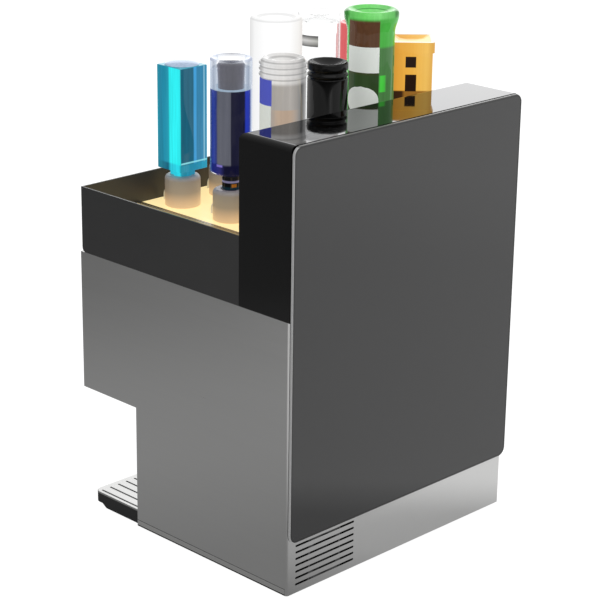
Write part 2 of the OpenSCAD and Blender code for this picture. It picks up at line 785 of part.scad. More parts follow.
module controller_board() {
    color("#1f5a3a") difference() {
        translate([board_x, carrier_y + carrier_t + stand_h, mid_z])
            box(-board_w / 2, board_w / 2, 0, board_t, -board_h / 2, board_h / 2);
        at_board_corners() cylinder(d = board_hole, h = stand_h + 2 * board_t);
    }
    color("#222222") translate([board_x, carrier_y + carrier_t + stand_h + board_t, mid_z]) {
        box(-chip_w / 2, chip_w / 2, 0, chip_t, -chip_w / 2, chip_w / 2);
        for (i = [0:plug_n - 1], s = [-1, 1])
            translate([(i - (plug_n - 1) / 2) * plug_pitch, plug_h / 2,
                       s * (board_h / 2 - plug_in - plug_h / 2)])
                cube([plug_w, plug_h, plug_h], center = true);
    }
}
supply_w = 200;
supply_h = 100;
supply_d = 40;
supply_slot_n = 10;
supply_slot_w = 6;
supply_slot_h = 60;
supply_slot_deep = 2;
module power_supply() {
    color("#a8aaac") translate([-board_x, carrier_y + carrier_t, mid_z]) difference() {
        box(-supply_w / 2, supply_w / 2, 0, supply_d, -supply_h / 2, supply_h / 2);
        for (i = [0:supply_slot_n - 1])
            translate([(i - (supply_slot_n - 1) / 2) * 2 * supply_slot_w, supply_d, 0])
                cube([supply_slot_w, 2 * supply_slot_deep, supply_slot_h], center = true);
    }
}

// ---- Cooling fan behind the vents ----

fan_w = 80;
fan_t = 25;
fan_x = half_w - vent_edge - vent_len / 2;
fan_z = floor_z + fan_w / 2 + 10;
fan_bore = 74;
hub_d = 30;
spindle_d = 4;
module fan_axis() { translate([fan_x, back_in, fan_z]) rotate([90, 0, 0]) children(); }
module fan_frame() {
    color("#202020") fan_axis() difference() {
        union() {
            difference() {
                translate([-fan_w / 2, -fan_w / 2, 0]) cube([fan_w, fan_w, fan_t]);
                translate([0, 0, -1]) cylinder(d = fan_bore, h = fan_t + 2);
                for (x = [-1, 1] * (fan_w / 2 - 5), y = [-1, 1] * (fan_w / 2 - 5))
                    translate([x, y, -1]) cylinder(d = 4.4, h = fan_t + 2);
            }
            translate([0, 0, fan_t - 3]) cylinder(d = hub_d, h = 3);
            for (a = [45:90:315]) rotate(a) translate([0, -2, fan_t - 3]) cube([fan_w / 2 - 1, 4, 3]);
        }
        translate([0, 0, fan_t - 4]) cylinder(r = spindle_d / 2 + run_gap, h = 5);
    }
}
blade_n = 7;
blade_tilt = 38;
module fan_rotor() {
    color("#2c2c2c") fan_axis() {
        translate([0, 0, 3]) cylinder(d = hub_d, h = fan_t - 8);
        translate([0, 0, fan_t - 6]) cylinder(d = spindle_d, h = 5.5);
        intersection() {
            translate([0, 0, 3]) cylinder(d = fan_bore - 3, h = fan_t - 8);
            for (i = [0:blade_n - 1]) rotate(i * 360 / blade_n) translate([hub_d / 2 - 2, 0, fan_t / 2 - 1])
                rotate([blade_tilt, 0, 0]) translate([0, -12, -0.8]) cube([fan_bore / 2, 24, 1.6]);
        }
    }
}

// ---- Power inlet and switch, low on the far side ----

inlet_flange_t = 0.9;
rocker_w = 24;
rocker_h = 17;
rocker_z = inlet_z + 17;
rocker_in = 6;
pin_d = 3;
pin_in = 2;
module power_inlet() {
    color("#161616") translate([-half_w, inlet_y, 0]) difference() {
        union() {
            translate([-inlet_flange_t, -inlet_cut_w / 2 - 5, inlet_z - inlet_cut_h / 2 - 5])
                cube([inlet_flange_t, inlet_cut_w + 10, inlet_cut_h + 10]);
            translate([0, -inlet_cut_w / 2 + fit_gap, inlet_z - inlet_cut_h / 2 + fit_gap])
                cube([26, inlet_cut_w - 2 * fit_gap, inlet_cut_h - 2 * fit_gap]);
        }
        // socket for the lead, open to the outside
        translate([-2, -14, inlet_z - 24]) cube([20, 28, 24]);
        // well of the rocker and the holes for its pins
        bar_y(rocker_in, -rocker_w / 2 - slide_gap - pin_in, rocker_w / 2 + slide_gap + pin_in,
            rocker_z, pin_d + 2 * run_gap);
        translate([-2, -rocker_w / 2 - slide_gap, rocker_z - rocker_h / 2 - slide_gap])
            cube([16, rocker_w + 2 * slide_gap, rocker_h + 2 * slide_gap]);
    }
    color("#c8b070") translate([-half_w, inlet_y, inlet_z - 12]) for (p = [[-7, -3], [7, -3], [0, 4]])
        translate([2, p[0] - 1, p[1] - 2]) cube([16.5, 2, 4]);
}
module rocker_switch() {
    color("#1a1a1a") translate([-half_w + rocker_in, inlet_y, rocker_z]) {
        bar_y(0, -rocker_w / 2 - pin_in, rocker_w / 2 + pin_in, 0, pin_d);
        rotate([90, 0, 0]) translate([0, 0, -rocker_w / 2]) linear_extrude(rocker_w)
            polygon([[0, -rocker_h / 2 + 2.2], [4, -3], [4, 3], [0, rocker_h / 2 - 2.2],
                [-5.4, rocker_h / 2 - 1.2], [-3.2, 0], [-3.4, -rocker_h / 2 + 1.2]]);
    }
}

// ---- Drip tray and grille ----

module drip_plan(inset) {
    r = max(drip_r - inset, 1);
    w = drip_w - 2 * inset;
    translate([0, drip_front + inset]) {
        for (s = [-1, 1]) translate([s * (w / 2 - r), r]) circle(r);
        translate([-w / 2 + r, 0]) square([w - 2 * r, drip_r]);
        translate([-w / 2, r]) square([w, drip_back - drip_front - r - 2 * inset]);
    }
}
module drip_tray() {
    color("#1a1a1a") difference() {
        union() {
            translate([0, 0, drip_lift]) linear_extrude(drip_rim_z - drip_lift) drip_plan(0);
            // skirt with a sloping front, set in by a shadow line
            translate([-drip_w / 2 + skirt_in, 0, 0]) rotate([90, 0, 90])
                linear_extrude(drip_w - 2 * skirt_in) polygon([[skirt_front, drip_lift + 1],
                    [skirt_front, drip_lift], [skirt_back, skirt_low], [drip_back, skirt_low],
                    [drip_back, drip_lift + 1]]);
        }
        // basin for the spilled liquid
        translate([0, 0, drip_lift + drip_wall]) linear_extrude(drip_top) drip_plan(drip_rim);
        // room for the shelf between the skirts
        box(-drip_w / 2 + skirt_in + skirt_t, drip_w / 2 - skirt_in - skirt_t,
            skirt_back + 3, drip_back + 1, 0, drip_low);
    }
}
grille_chamfer = 0.8;
grille_bar = 3;
grille_bar_h = 2.5;
module drip_grille() {
    y0 = drip_front + grille_edge;
    y1 = drip_back - grille_edge;
    n = floor((drip_w / 2 - grille_edge / 2) / grille_pitch + 0.5);
    c = grille_chamfer;
    color("#d9d9d6") translate([0, 0, drip_rim_z]) {
        difference() {
            union() {
                linear_extrude(grille_t - c) drip_plan(0);
                hull() for (k = [0, 1]) translate([0, 0, grille_t - c + k * (c - 0.05)])
                    linear_extrude(0.05) drip_plan(c * k);
            }
            for (i = [0:n - 1], s = [-1, 1]) translate([s * (i + 0.5) * grille_pitch, 0, 0]) {
                box(-grille_slot / 2, grille_slot / 2, y0, y1, -1, grille_t + 1);
                for (y = [y0, y1]) translate([0, y, -1])
                    cylinder(d = grille_slot, h = grille_t + 2, $fn = 16);
            }
        }
        // bars that drop into the basin and keep the grille in place
        for (y = [drip_front + drip_rim + slide_gap, drip_back - drip_rim - slide_gap - grille_bar])
            box(-drip_w / 2 + drip_r + drip_rim, drip_w / 2 - drip_r - drip_rim,
                y, y + grille_bar, -grille_bar_h, 0.5);
    }
}

// ---- Bottles, upside down in their connectors ----

// Glass turned from an outline of the outside and one of the inside, lowest point first
module turned_glass(outer, inner) {
    rotate_extrude() difference() {
        polygon(concat([[0, outer[0][1]]], outer, [[0, outer[len(outer) - 1][1]]]));
        polygon(concat([[0, inner[0][1] - 1], [inner[0][0], inner[0][1] - 1]], inner,
            [[0, inner[len(inner) - 1][1]]]));
    }
}
// Outline from the mouth to the shoulder's wide end
function neck_line(r_body, z_neck, z_body, inset, z_low = mouth_z) = concat(
    [[neck_r(inset), z_low], [neck_r(inset), z_neck]],
    shoulder(neck_r(inset), z_neck, r_body - inset, z_body));
// The liquid starts above the spigot that stands in the neck
liquid_low = connector_top - socket_depth + spigot_h + fit_gap;
function neck_r(inset) = inset > 0 ? neck_bore / 2 : neck_d / 2;
// Outline of the inside; the base is twice as thick as the wall
function inside_line(r_body, z_neck, z_body, z_top) = concat(
    neck_line(r_body, z_neck, z_body, bottle_wall),
    [[r_body - bottle_wall, z_top - 2 * bottle_wall]]);
// Liquid up to a level, cut from the same inside
module turned_liquid(r_body, z_neck, z_body, level) {
    line = concat(neck_line(r_body, z_neck, z_body, bottle_wall, liquid_low),
        [[r_body - bottle_wall, level]]);
    rotate_extrude() polygon(concat([[0, liquid_low]], line, [[0, level]]));
}
module at_place(col, row) { translate([place_x(col), place_y(row), 0]) children(); }

neck_z = connector_top + 14;
blue_body = connector_top + 38;
blue_top = connector_top + 239;
blue_level = connector_top + 181;
module round_blue_bottle() {
    r = blue_d / 2;
    color("#c8d4e8") at_place(0, 1) turned_glass(
        concat(neck_line(r, neck_z + 6, blue_body, 0), arc(r - 4, blue_top - 4, 4, 0, 90)),
        inside_line(r, neck_z + 6, blue_body, blue_top));
}
module blue_liquid() {
    color("#232a86") at_place(0, 1) turned_liquid(blue_d / 2, neck_z + 6, blue_body, blue_level);
}
frosted_body = connector_top + 118;
frosted_top = connector_top + 310;
frosted_level = connector_top + 250;
module frosted_bottle() {
    r = frosted_d / 2;
    color("#f2f2f2") at_place(1, 1) turned_glass(
        concat(neck_line(r, neck_z, frosted_body, 0), arc(r - 7, frosted_top - 7, 7, 0, 90)),
        inside_line(r, neck_z, frosted_body, frosted_top));
}
module frosted_liquid() {
    color("#ece8e0") at_place(1, 1) turned_liquid(frosted_d / 2, neck_z, frosted_body, frosted_level);
}
ringed_body = connector_top + 60;
ringed_top = connector_top + 269;
ringed_level = connector_top + 220;
ring_n = 3;
ring_h = 10;
ring_out = 2.5;
module ringed_bottle() {
    r = ringed_d / 2;
    z0 = ringed_top - 13 - ring_n * ring_h;
    color("#dfe3ea") at_place(0, 2) turned_glass(
        concat(neck_line(r, neck_z, ringed_body, 0),
            [for (i = [0:ring_n - 1]) each arc(r, z0 + (i + 0.5) * ring_h, ring_out, -80, 80)],
            [[r - 7, ringed_top - 13]], arc(r - 11, ringed_top - 4, 4, 0, 90)),
        inside_line(r - 7, neck_z, ringed_body, ringed_top));
}
module ringed_liquid() {
    color("#e8ecf4") at_place(0, 2) turned_liquid(ringed_d / 2 - 7, neck_z, ringed_body, ringed_level);
}
clear_body = connector_top + 70;
clear_top = connector_top + 293;
clear_level = connector_top + 238;
module clear_bottle() {
    r = clear_d / 2;
    color("#e6ecec") at_place(2, 1) turned_glass(
        concat(neck_line(r, neck_z, clear_body, 0), arc(r - 5, clear_top - 5, 5, 0, 90)),
        inside_line(r, neck_z, clear_body, clear_top));
}
module clear_liquid() {
    color("#eef2f2") at_place(2, 1) turned_liquid(clear_d / 2, neck_z, clear_body, clear_level);
}
red_body = connector_top + 60;
red_top = connector_top + 262;
red_level = connector_top + 220;
red_step = 26;
module red_bottle() {
    r = red_d / 2;
    color("#f0c8c8") at_place(3, 1) turned_glass(
        concat(neck_line(r, neck_z, red_body, 0),
            [[r, red_top - red_step], [r - 1.5, red_top - red_step + 2]],
            arc(r - 5.5, red_top - 4, 4, 0, 90)),
        inside_line(r - 1.5, neck_z, red_body, red_top));
}
module red_liquid() {
    color("#d0141c") at_place(3, 1) turned_liquid(red_d / 2 - 1.5, neck_z, red_body, red_level);
}
black_body = connector_top + 46;
black_top = connector_top + 239;
black_level = connector_top + 190;
module black_bottle() {
    r = black_d / 2;
    t = black_top;
    color("#0e0e0e") at_place(1, 2) turned_glass(
        concat(neck_line(r - 0.5, neck_z, black_body, 0),
            [[r - 0.5, t - 29], [r - 2, t - 27.5], [r - 2, t - 26.5]],
            arc(r - 3, t - 23, 3, -70, 70), [[r - 3, t - 16.5], [r - 3, t - 15.5]],
            arc(r - 4, t - 11, 4, -60, 0), arc(r - 4, t - 4, 4, 0, 90)),
        inside_line(r - 3, neck_z, black_body, black_top));
}
module black_liquid() {
    color("#1a0d08") at_place(1, 2) turned_liquid(black_d / 2 - 3, neck_z, black_body, black_level);
}
green_body = connector_top + 82;
green_top = connector_top + 318;
green_level = connector_top + 260;
green_flare = 8.5;
flare_z = 56;
module green_bottle() {
    r = green_d / 2;
    t = green_top;
    color("#3fae3a") at_place(2, 2) turned_glass(
        concat(neck_line(r, neck_z, green_body, 0), shoulder(r, t - flare_z, r + green_flare, t - 18),
            arc(r + green_flare - 6, t - 8, 6, 0, 60), [[r - 6, t], [r - 12, t - 1]]),
        inside_line(r, neck_z, green_body, green_top - 6));
}
module green_liquid() {
    color("#2a3a12") at_place(2, 2) turned_liquid(green_d / 2, neck_z, green_body, green_level);
}

// Square glass: a body with cut corners, a sloping shoulder, a square collar and a round neck
module square_prism(w, cut, z0, z1) {
    h = w / 2;
    translate([0, 0, z0]) linear_extrude(z1 - z0) polygon([[h - cut, -h], [h, -h + cut], [h, h - cut],
        [h - cut, h], [-h + cut, h], [-h, h - cut], [-h, -h + cut], [-h + cut, -h]]);
}
module square_bottle(w, cut, collar, z_body, z_top) {
    difference() {
        union() {
            translate([0, 0, mouth_z]) cylinder(d = neck_d, h = z_body - mouth_z);
            square_prism(collar, cut, connector_top + 4, z_body - 8);
            hull() {
                square_prism(collar + 4, cut, z_body - 8, z_body - 7.9);
                square_prism(w, cut, z_body, z_body + 0.1);
            }
            square_prism(w, cut, z_body, z_top);
        }
        square_inside(w, cut, z_body, z_top - 2 * bottle_wall);
    }
}
module square_inside(w, cut, z_body, z_level, z_low = mouth_z) {
    translate([0, 0, z_low]) cylinder(d = neck_bore, h = z_body - z_low + bottle_wall);
    square_prism(w - 2 * bottle_wall, cut, z_body + bottle_wall, z_level);
}
square_turn = 4;
square_cut = 3;
square_body = connector_top + 30;
square_top = connector_top + 201;
square_level = connector_top + 170;
collar_w = 46;
module square_blue_bottle() {
    color("#19b8d8") at_place(0, 0) rotate(square_turn)
        square_bottle(square_w, square_cut, collar_w, square_body, square_top);
}
module square_liquid() {
    color("#2ad4ec") at_place(0, 0) rotate(square_turn)
        square_inside(square_w, square_cut, square_body, square_level, liquid_low);
}
amber_turn = 45;
amber_cut = 6;
amber_body = connector_top + 70;
amber_top = connector_top + 246;
amber_level = connector_top + 220;
module amber_bottle() {
    color("#f0961e") at_place(3, 2) rotate(amber_turn)
        square_bottle(amber_w, amber_cut, collar_w, amber_body, amber_top);
}
module amber_liquid() {
    color("#e07c10") at_place(3, 2) rotate(amber_turn)
        square_inside(amber_w, amber_cut, amber_body, amber_level, liquid_low);
}

base_pan();
rubber_feet();
foot_screws();
body_wrap();
splash_panel();
head_floor();
top_plate();
front_glass();
display_module();
display_bracket();
nozzle_block();
bay_light();
bottle_tray();
lit_deck();
spill_strip();
deck_rails();
light_strips();
front_connectors();
middle_connectors();
rear_connectors();
feed_hoses();
feed_valves();
collector_manifold();
delivery_tube();
pump_housing();
pump_rotor();
pump_shaft();
pump_motor();
pump_bracket();
pump_cover();
hood_shell();
rear_plate();
plate_standoffs();
electronics_plate();
board_standoffs();
controller_board();
power_supply();
fan_frame();
fan_rotor();
power_inlet();
rocker_switch();
drip_tray();
drip_grille();
square_blue_bottle();
round_blue_bottle();
frosted_bottle();
ringed_bottle();
clear_bottle();
red_bottle();
black_bottle();
green_bottle();
amber_bottle();
square_liquid();
blue_liquid();
frosted_liquid();
ringed_liquid();
clear_liquid();
red_liquid();
black_liquid();
green_liquid();
amber_liquid();
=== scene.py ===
"""Looks of the cocktail dispenser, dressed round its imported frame.

Metres, +Z up. The front (screen, nozzle, drip tray) faces -Y and the rear plate faces +Y.
"""
import math

import bpy
import numpy as np
from mathutils import Matrix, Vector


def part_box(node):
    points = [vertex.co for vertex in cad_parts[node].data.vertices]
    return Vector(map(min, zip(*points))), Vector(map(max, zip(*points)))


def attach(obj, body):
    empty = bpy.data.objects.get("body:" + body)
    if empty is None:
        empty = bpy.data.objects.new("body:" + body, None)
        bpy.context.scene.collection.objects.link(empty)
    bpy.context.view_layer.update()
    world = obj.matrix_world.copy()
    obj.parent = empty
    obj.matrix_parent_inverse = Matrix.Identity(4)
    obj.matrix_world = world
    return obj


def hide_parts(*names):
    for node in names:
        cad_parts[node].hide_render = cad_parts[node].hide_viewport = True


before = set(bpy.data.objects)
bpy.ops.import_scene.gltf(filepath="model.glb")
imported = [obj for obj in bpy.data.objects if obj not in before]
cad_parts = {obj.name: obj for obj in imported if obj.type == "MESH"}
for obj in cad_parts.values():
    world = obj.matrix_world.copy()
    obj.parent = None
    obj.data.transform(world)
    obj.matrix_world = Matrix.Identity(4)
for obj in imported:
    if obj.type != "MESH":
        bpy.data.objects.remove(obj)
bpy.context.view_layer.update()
MM = 0.001


def grey(level, warm=0.0):
    """A grey, with a little more red and less blue if it is warm."""
    return (level * (1 + warm), level, level * (1 - warm))


# -------- shader maths

class Wire:
    """One shader socket or number; arithmetic on it adds Math nodes to the material."""

    def __init__(self, paint, socket):
        self.paint = paint
        self.socket = socket

    def _math(self, operation, *values):
        return self.paint.node("ShaderNodeMath", {"operation": operation}, dict(enumerate(values)))[0]

    def __add__(self, other):
        return self._math("ADD", self, other)

    def __radd__(self, other):
        return self._math("ADD", other, self)

    def __sub__(self, other):
        return self._math("SUBTRACT", self, other)

    def __rsub__(self, other):
        return self._math("SUBTRACT", other, self)

    def __mul__(self, other):
        return self._math("MULTIPLY", self, other)

    def __rmul__(self, other):
        return self._math("MULTIPLY", other, self)

    def __truediv__(self, other):
        return self._math("DIVIDE", self, other)

    def above(self, edge, soft):
        """0 below the edge, 1 above it, with a smooth step of the given width."""
        return self.paint.node("ShaderNodeMapRange", {"interpolation_type": "SMOOTHSTEP"},
                               {"Value": self, "From Min": edge - soft / 2,
                                "From Max": edge + soft / 2})[0]

    def sin(self):
        return self._math("SINE", self)

    def sqrt(self):
        return self._math("SQRT", self)

    def larger(self, other):
        return self._math("MAXIMUM", self, other)

    def within(self, low, high, soft):
        """1 between two edges, 0 outside them."""
        return self.above(low, soft) * (1 - self.above(high, soft))


class Nodes:
    """A node tree under construction."""

    def __init__(self, tree):
        self.tree = tree

    def node(self, kind, settings=None, sockets=None):
        """Adds a node; settings come first, then socket values or links. Gives its outputs."""
        made = self.tree.nodes.new(kind)
        for key, value in (settings or {}).items():
            if key == "stops":
                ramp = made.color_ramp
                for place, colour in value[2:]:
                    ramp.elements.new(place)
                for element, (place, colour) in zip(ramp.elements, value):
                    element.position = place
                    element.color = (*colour, 1.0)
            else:
                setattr(made, key, value)
        for key, value in (sockets or {}).items():
            self.feed(made.inputs[key], value)
        return [Wire(self, out) for out in made.outputs]

    def feed(self, socket, value):
        if isinstance(value, Wire):
            self.tree.links.new(value.socket, socket)
        elif isinstance(value, tuple) and len(value) == 3 and socket.type == "RGBA":
            socket.default_value = (*value, 1.0)
        else:
            socket.default_value = value


class Paint(Nodes):
    """A material under construction, with one Principled shader."""

    def __init__(self, name):
        self.material = bpy.data.materials.new(name)
        self.material.use_nodes = True
        super().__init__(self.material.node_tree)
        self.shader = self.tree.nodes["Principled BSDF"]
        self.output = self.tree.nodes["Material Output"]

    def set(self, **sockets):
        """Feeds the shader; an underscore in a name stands for a space."""
        for key, value in sockets.items():
            self.feed(self.shader.inputs[key.replace("_", " ")], value)
        return self

    def place(self):
        """The point on the object, in metres, and its three parts."""
        coordinates = self.node("ShaderNodeTexCoord")[3]
        parts = self.node("ShaderNodeSeparateXYZ", None, {0: coordinates})
        return coordinates, parts

    def noise(self, scale, detail=3.0, stretch=(1, 1, 1), rough=0.55):
        """Noise of a given scale per metre on Object coordinates, stretched along the axes."""
        spot = self.node("ShaderNodeVectorMath", {"operation": "MULTIPLY"},
                         {0: self.place()[0], 1: stretch})[0]
        return self.node("ShaderNodeTexNoise", None, {"Vector": spot, "Scale": scale,
                                                      "Detail": detail, "Roughness": rough})[0]

    def mix(self, factor, first, second):
        """Colour between first and second."""
        return self.node("ShaderNodeMix", {"data_type": "RGBA"}, {"Factor": factor, 6: first, 7: second})[2]

    def ramp(self, factor, stops):
        """Colour read off a list of (position, colour) stops."""
        return self.node("ShaderNodeValToRGB", {"stops": stops}, {0: factor})[0]

    def bump(self, height, strength, distance):
        normal = self.node("ShaderNodeBump", None, {"Height": height, "Strength": strength,
                                                    "Distance": distance})[0]
        return self.set(Normal=normal)


def scaled(colour, factor):
    return tuple(min(1.0, c * factor) for c in colour)


def plastic(name, colour, roughness, speckle=0.12, grain=900.0, relief=0.15, coat=0.0):
    """Moulded plastic or rubber: a fine grain in the surface and a slow drift in the colour."""
    paint = Paint(name)
    drift = paint.noise(9.0)
    fine = paint.noise(grain, 2.0)
    paint.set(Base_Color=paint.mix(drift, scaled(colour, 1 - speckle), scaled(colour, 1 + speckle)),
              Roughness=roughness + (fine - 0.5) * 0.08,
              Coat_Weight=coat, Coat_Roughness=0.04)
    return paint.bump(fine, relief, 0.00005).material


def metal(name, colour, roughness, along, streak=0.04, aniso=0.35, shade_below=None):
    """Brushed metal: streaks drawn out along one axis in the colour, the gloss and the relief.
    Below a given height it can lie in its own shade."""
    paint = Paint(name)
    fine = [6.0 if axis == along else 900.0 for axis in "XYZ"]
    broad = [2.0 if axis == along else 60.0 for axis in "XYZ"]
    brush = paint.noise(1.0, 2.0, tuple(fine))
    bands = paint.noise(1.0, 2.0, tuple(broad))
    tone = brush * 0.6 + bands * 0.4
    seen = paint.mix(tone, scaled(colour, 1 - streak), scaled(colour, 1 + streak))
    if shade_below is not None:
        seen = paint.mix(paint.place()[1][2].above(shade_below, 1 * MM), grey(0.03), seen)
    paint.set(Base_Color=seen, Roughness=roughness + (tone - 0.5) * 0.12, Metallic=1.0, Anisotropic=aniso)
    return paint.bump(brush, 0.12, 0.00004).material


def lacquer(name, colour, roughness, coat=1.0, ior=1.5):
    """Deep gloss black or grey: smooth, with a faint orange peel and a clear coat."""
    paint = Paint(name)
    peel = paint.noise(60.0, 2.0)
    drift = paint.noise(4.0)
    paint.set(Base_Color=paint.mix(drift, scaled(colour, 0.92), scaled(colour, 1.08)),
              Roughness=roughness + (drift - 0.5) * 0.02, Coat_Weight=coat, Coat_Roughness=0.02, IOR=ior)
    return paint.bump(peel, 0.02, 0.0002).material


def glass(name, colour, roughness=0.0, ior=1.5, ripple=0.03):
    """Bottle glass, tinted by its colour, with slow waves in the surface."""
    paint = Paint(name)
    waves = paint.noise(25.0, 1.0)
    tint = paint.mix(waves, scaled(colour, 0.97), colour)
    paint.set(Base_Color=tint, Roughness=roughness, Transmission_Weight=1.0, IOR=ior)
    return paint.bump(waves, ripple, 0.0005).material


def hood_lacquer(name, top):
    """Deep black lacquer; seen along its flat top it mirrors what stands behind it."""
    paint = Paint(name)
    peel = paint.noise(60.0, 2.0)
    drift = paint.noise(4.0)
    flat = paint.place()[1][2].above(top - 0.35 * MM, 0.3 * MM)
    paint.set(Base_Color=paint.mix(flat, (0.001, 0.001, 0.0011), (0.11, 0.11, 0.113)), Metallic=flat,
              Roughness=0.04 + (drift - 0.5) * 0.02, IOR=1.5)
    return paint.bump(peel, 0.02, 0.0002).material


def moulded_socket(name, colour, low, high):
    """A connector's satin plastic, with painted light given off as emission: the warm light of the lit deck
    painted low on it, fading up it, and a faint painted highlight at its top.
    """
    paint = Paint(name)
    fine = paint.noise(900.0, 2.0)
    drift = paint.noise(14.0)
    rise = (paint.place()[1][2] - low) / (high - low)
    # painted light: warm deck light at the foot, dark in the middle, a faint highlight at the rounded top
    glow = paint.ramp(rise, [
        (0.0, (0.50, 0.29, 0.12)), (0.22, (0.34, 0.19, 0.08)), (0.5, (0.06, 0.035, 0.02)),
        (0.85, (0.02, 0.018, 0.022)), (1.0, (0.05, 0.047, 0.06))])
    paint.set(Base_Color=paint.mix(drift, scaled(colour, 0.95), colour),
              Roughness=0.42 + (fine - 0.5) * 0.08, Emission_Color=glow, Emission_Strength=1.0)
    return paint.bump(fine, 0.12, 0.00005).material


def lit_acrylic(name, warm, strength):
    """The lit deck: brightest over the rows of lights, with a fine sparkle in the sheet."""
    paint = Paint(name)
    parts = paint.place()[1]
    fine = paint.noise(1400.0, 1.0)
    spots = ((parts[0] * (2 * math.pi / 0.032)).sin() * 0.5 + 0.5) * 0.10
    glow = 0.86 + spots + (fine - 0.5) * 0.12
    bright = paint.mix(glow, scaled(warm, 0.6), warm)
    paint.set(Base_Color=(0.45, 0.38, 0.2), Roughness=0.35, IOR=1.3, Emission_Color=bright,
              Emission_Strength=strength)
    return paint.material


# -------- meshes

def mesh_piece(name, points, faces, material, body, smooth=True):
    """Makes an object from points (n x 3, metres) and faces, and lets it ride on a body."""
    mesh = bpy.data.meshes.new(name)
    mesh.from_pydata([tuple(p) for p in np.asarray(points, float)], [], [tuple(f) for f in faces])
    mesh.validate()
    mesh.shade_smooth() if smooth else mesh.shade_flat()
    mesh.materials.append(material)
    piece = bpy.data.objects.new(name, mesh)
    bpy.context.scene.collection.objects.link(piece)
    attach(piece, body)
    return piece


def grid_faces(rows, columns, wrap_rows=False, wrap_columns=True):
    """Quads between the points of a rows x columns grid, joined round where asked."""
    r = np.arange(rows if wrap_rows else rows - 1)
    c = np.arange(columns if wrap_columns else columns - 1)
    rr, cc = np.meshgrid(r, c, indexing="ij")
    r2, c2 = (rr + 1) % rows, (cc + 1) % columns
    quads = np.stack([rr * columns + cc, rr * columns + c2, r2 * columns + c2, r2 * columns + cc], -1)
    return quads.reshape(-1, 4).tolist()


def turned(profile, centre, segments=96):
    """A turned surface, P(k, a) = (cx + r_k cos a, cy + r_k sin a, z_k): each (r, z) of the
    profile, lowest outside point first, goes round the axis. An end with radius 0 becomes one
    pole point. Gives points and faces."""
    profile = np.asarray(profile, float)
    angle = np.linspace(0, 2 * math.pi, segments, endpoint=False)
    ring = profile[profile[:, 0] > 0]
    points = np.stack([centre[0] + ring[:, :1] * np.cos(angle), centre[1] + ring[:, :1] * np.sin(angle),
                       np.repeat(ring[:, 1:], segments, 1)], -1).reshape(-1, 3)
    faces = grid_faces(len(ring), segments)
    loop = np.arange(segments)
    if profile[0, 0] == 0:
        points = np.vstack([points, [[*centre, profile[0, 1]]]])
        faces += [[len(points) - 1, (k + 1) % segments, k] for k in loop]
    if profile[-1, 0] == 0:
        points = np.vstack([points, [[*centre, profile[-1, 1]]]])
        last = (len(ring) - 1) * segments
        faces += [[len(points) - 1, last + k, last + (k + 1) % segments] for k in loop]
    return points, faces


def arc(cx, cz, radius, start, stop, count=8):
    """An arc, (cx + r cos a, cz + r sin a), with a in degrees from +radius towards +height."""
    angle = np.radians(np.linspace(start, stop, count))
    return np.stack([cx + radius * np.cos(angle), cz + radius * np.sin(angle)], 1)


def swell(r0, z0, r1, z1, count=24):
    """A smooth change of radius: r(u) = r0 + (r1 - r0) (1 - cos(pi u)) / 2, z(u) = z0 + (z1 - z0) u."""
    share = np.linspace(0, 1, count)
    return np.stack([r0 + (r1 - r0) * (1 - np.cos(math.pi * share)) / 2, z0 + (z1 - z0) * share], 1)


def rounded_square(width, corner, turn, count=10):
    """Outline of a square with round corners, turned by an angle in degrees; counter-clockwise."""
    half = width / 2 - corner
    out = []
    for quarter in range(4):
        mid = math.radians(90 * quarter + 45)
        cx, cy = half * math.copysign(1, math.cos(mid)), half * math.copysign(1, math.sin(mid))
        angle = np.radians(90 * quarter + np.linspace(0, 90, count))
        out.append(np.stack([cx + corner * np.cos(angle), cy + corner * np.sin(angle)], 1))
    flat = np.vstack(out)
    c, s = math.cos(math.radians(turn)), math.sin(math.radians(turn))
    return flat @ np.array([[c, s], [-s, c]])


def lofted(sections, centre):
    """A closed skin through sections (outline, height) with equal point counts, capped at both
    ends by one point in the middle of the cap."""
    count = len(sections[0][0])
    rings = [np.column_stack([flat[:, 0] + centre[0], flat[:, 1] + centre[1], np.full(count, z)])
             for flat, z in sections]
    points = np.vstack(rings + [[[*centre, sections[0][1]]], [[*centre, sections[-1][1]]]])
    faces = grid_faces(len(sections), count)
    low, high, last = len(points) - 2, len(points) - 1, (len(sections) - 1) * count
    for k in range(count):
        faces.append([low, (k + 1) % count, k])
        faces.append([high, last + k, last + (k + 1) % count])
    return points, faces


def joined(*parts):
    """Several (points, faces) as one mesh."""
    points, faces, start = [], [], 0
    for p, f in parts:
        points.append(p)
        faces += [[i + start for i in face] for face in f]
        start += len(p)
    return np.vstack(points), faces


def inside_out(part):
    points, faces = part
    return points, [face[::-1] for face in faces]


def round_patch(name, centre, radius, middle, span, low, high, material, body, lift=0.25 * MM, corner=0.0,
                columns=36, rows=24):
    """A label that wraps a round bottle: angle a across, height v up, from -1 to 1. Its width is
    w(v) = 1 - corner (1 - sqrt(1 - |v|^2.2)), which turns it into an oval at corner = 1."""
    share = np.linspace(-1, 1, rows)
    width = 1 - corner * (1 - np.sqrt(np.clip(1 - np.abs(share) ** 2.2, 0, 1)))
    angle = np.radians(middle) + np.radians(span / 2) * np.linspace(-1, 1, columns)[None, :] * width[:, None]
    z = (low + high) / 2 + (high - low) / 2 * share
    r = radius + lift
    points = np.stack([centre[0] + r * np.cos(angle), centre[1] + r * np.sin(angle),
                       np.repeat(z[:, None], columns, 1)], -1).reshape(-1, 3)
    return mesh_piece(name, points, grid_faces(rows, columns, wrap_columns=False), material, body)


# -------- camera, floor and light

CAMERA_PLACE = (2.44495, 2.42713, 1.59911)
CAMERA_AZIMUTH, CAMERA_ELEVATION, CAMERA_ROLL = 134.705, 19.0, 0.783
CAMERA_LENS = 118.79
BRIGHT_SIDE = (-0.62, 0.62, 0.35)


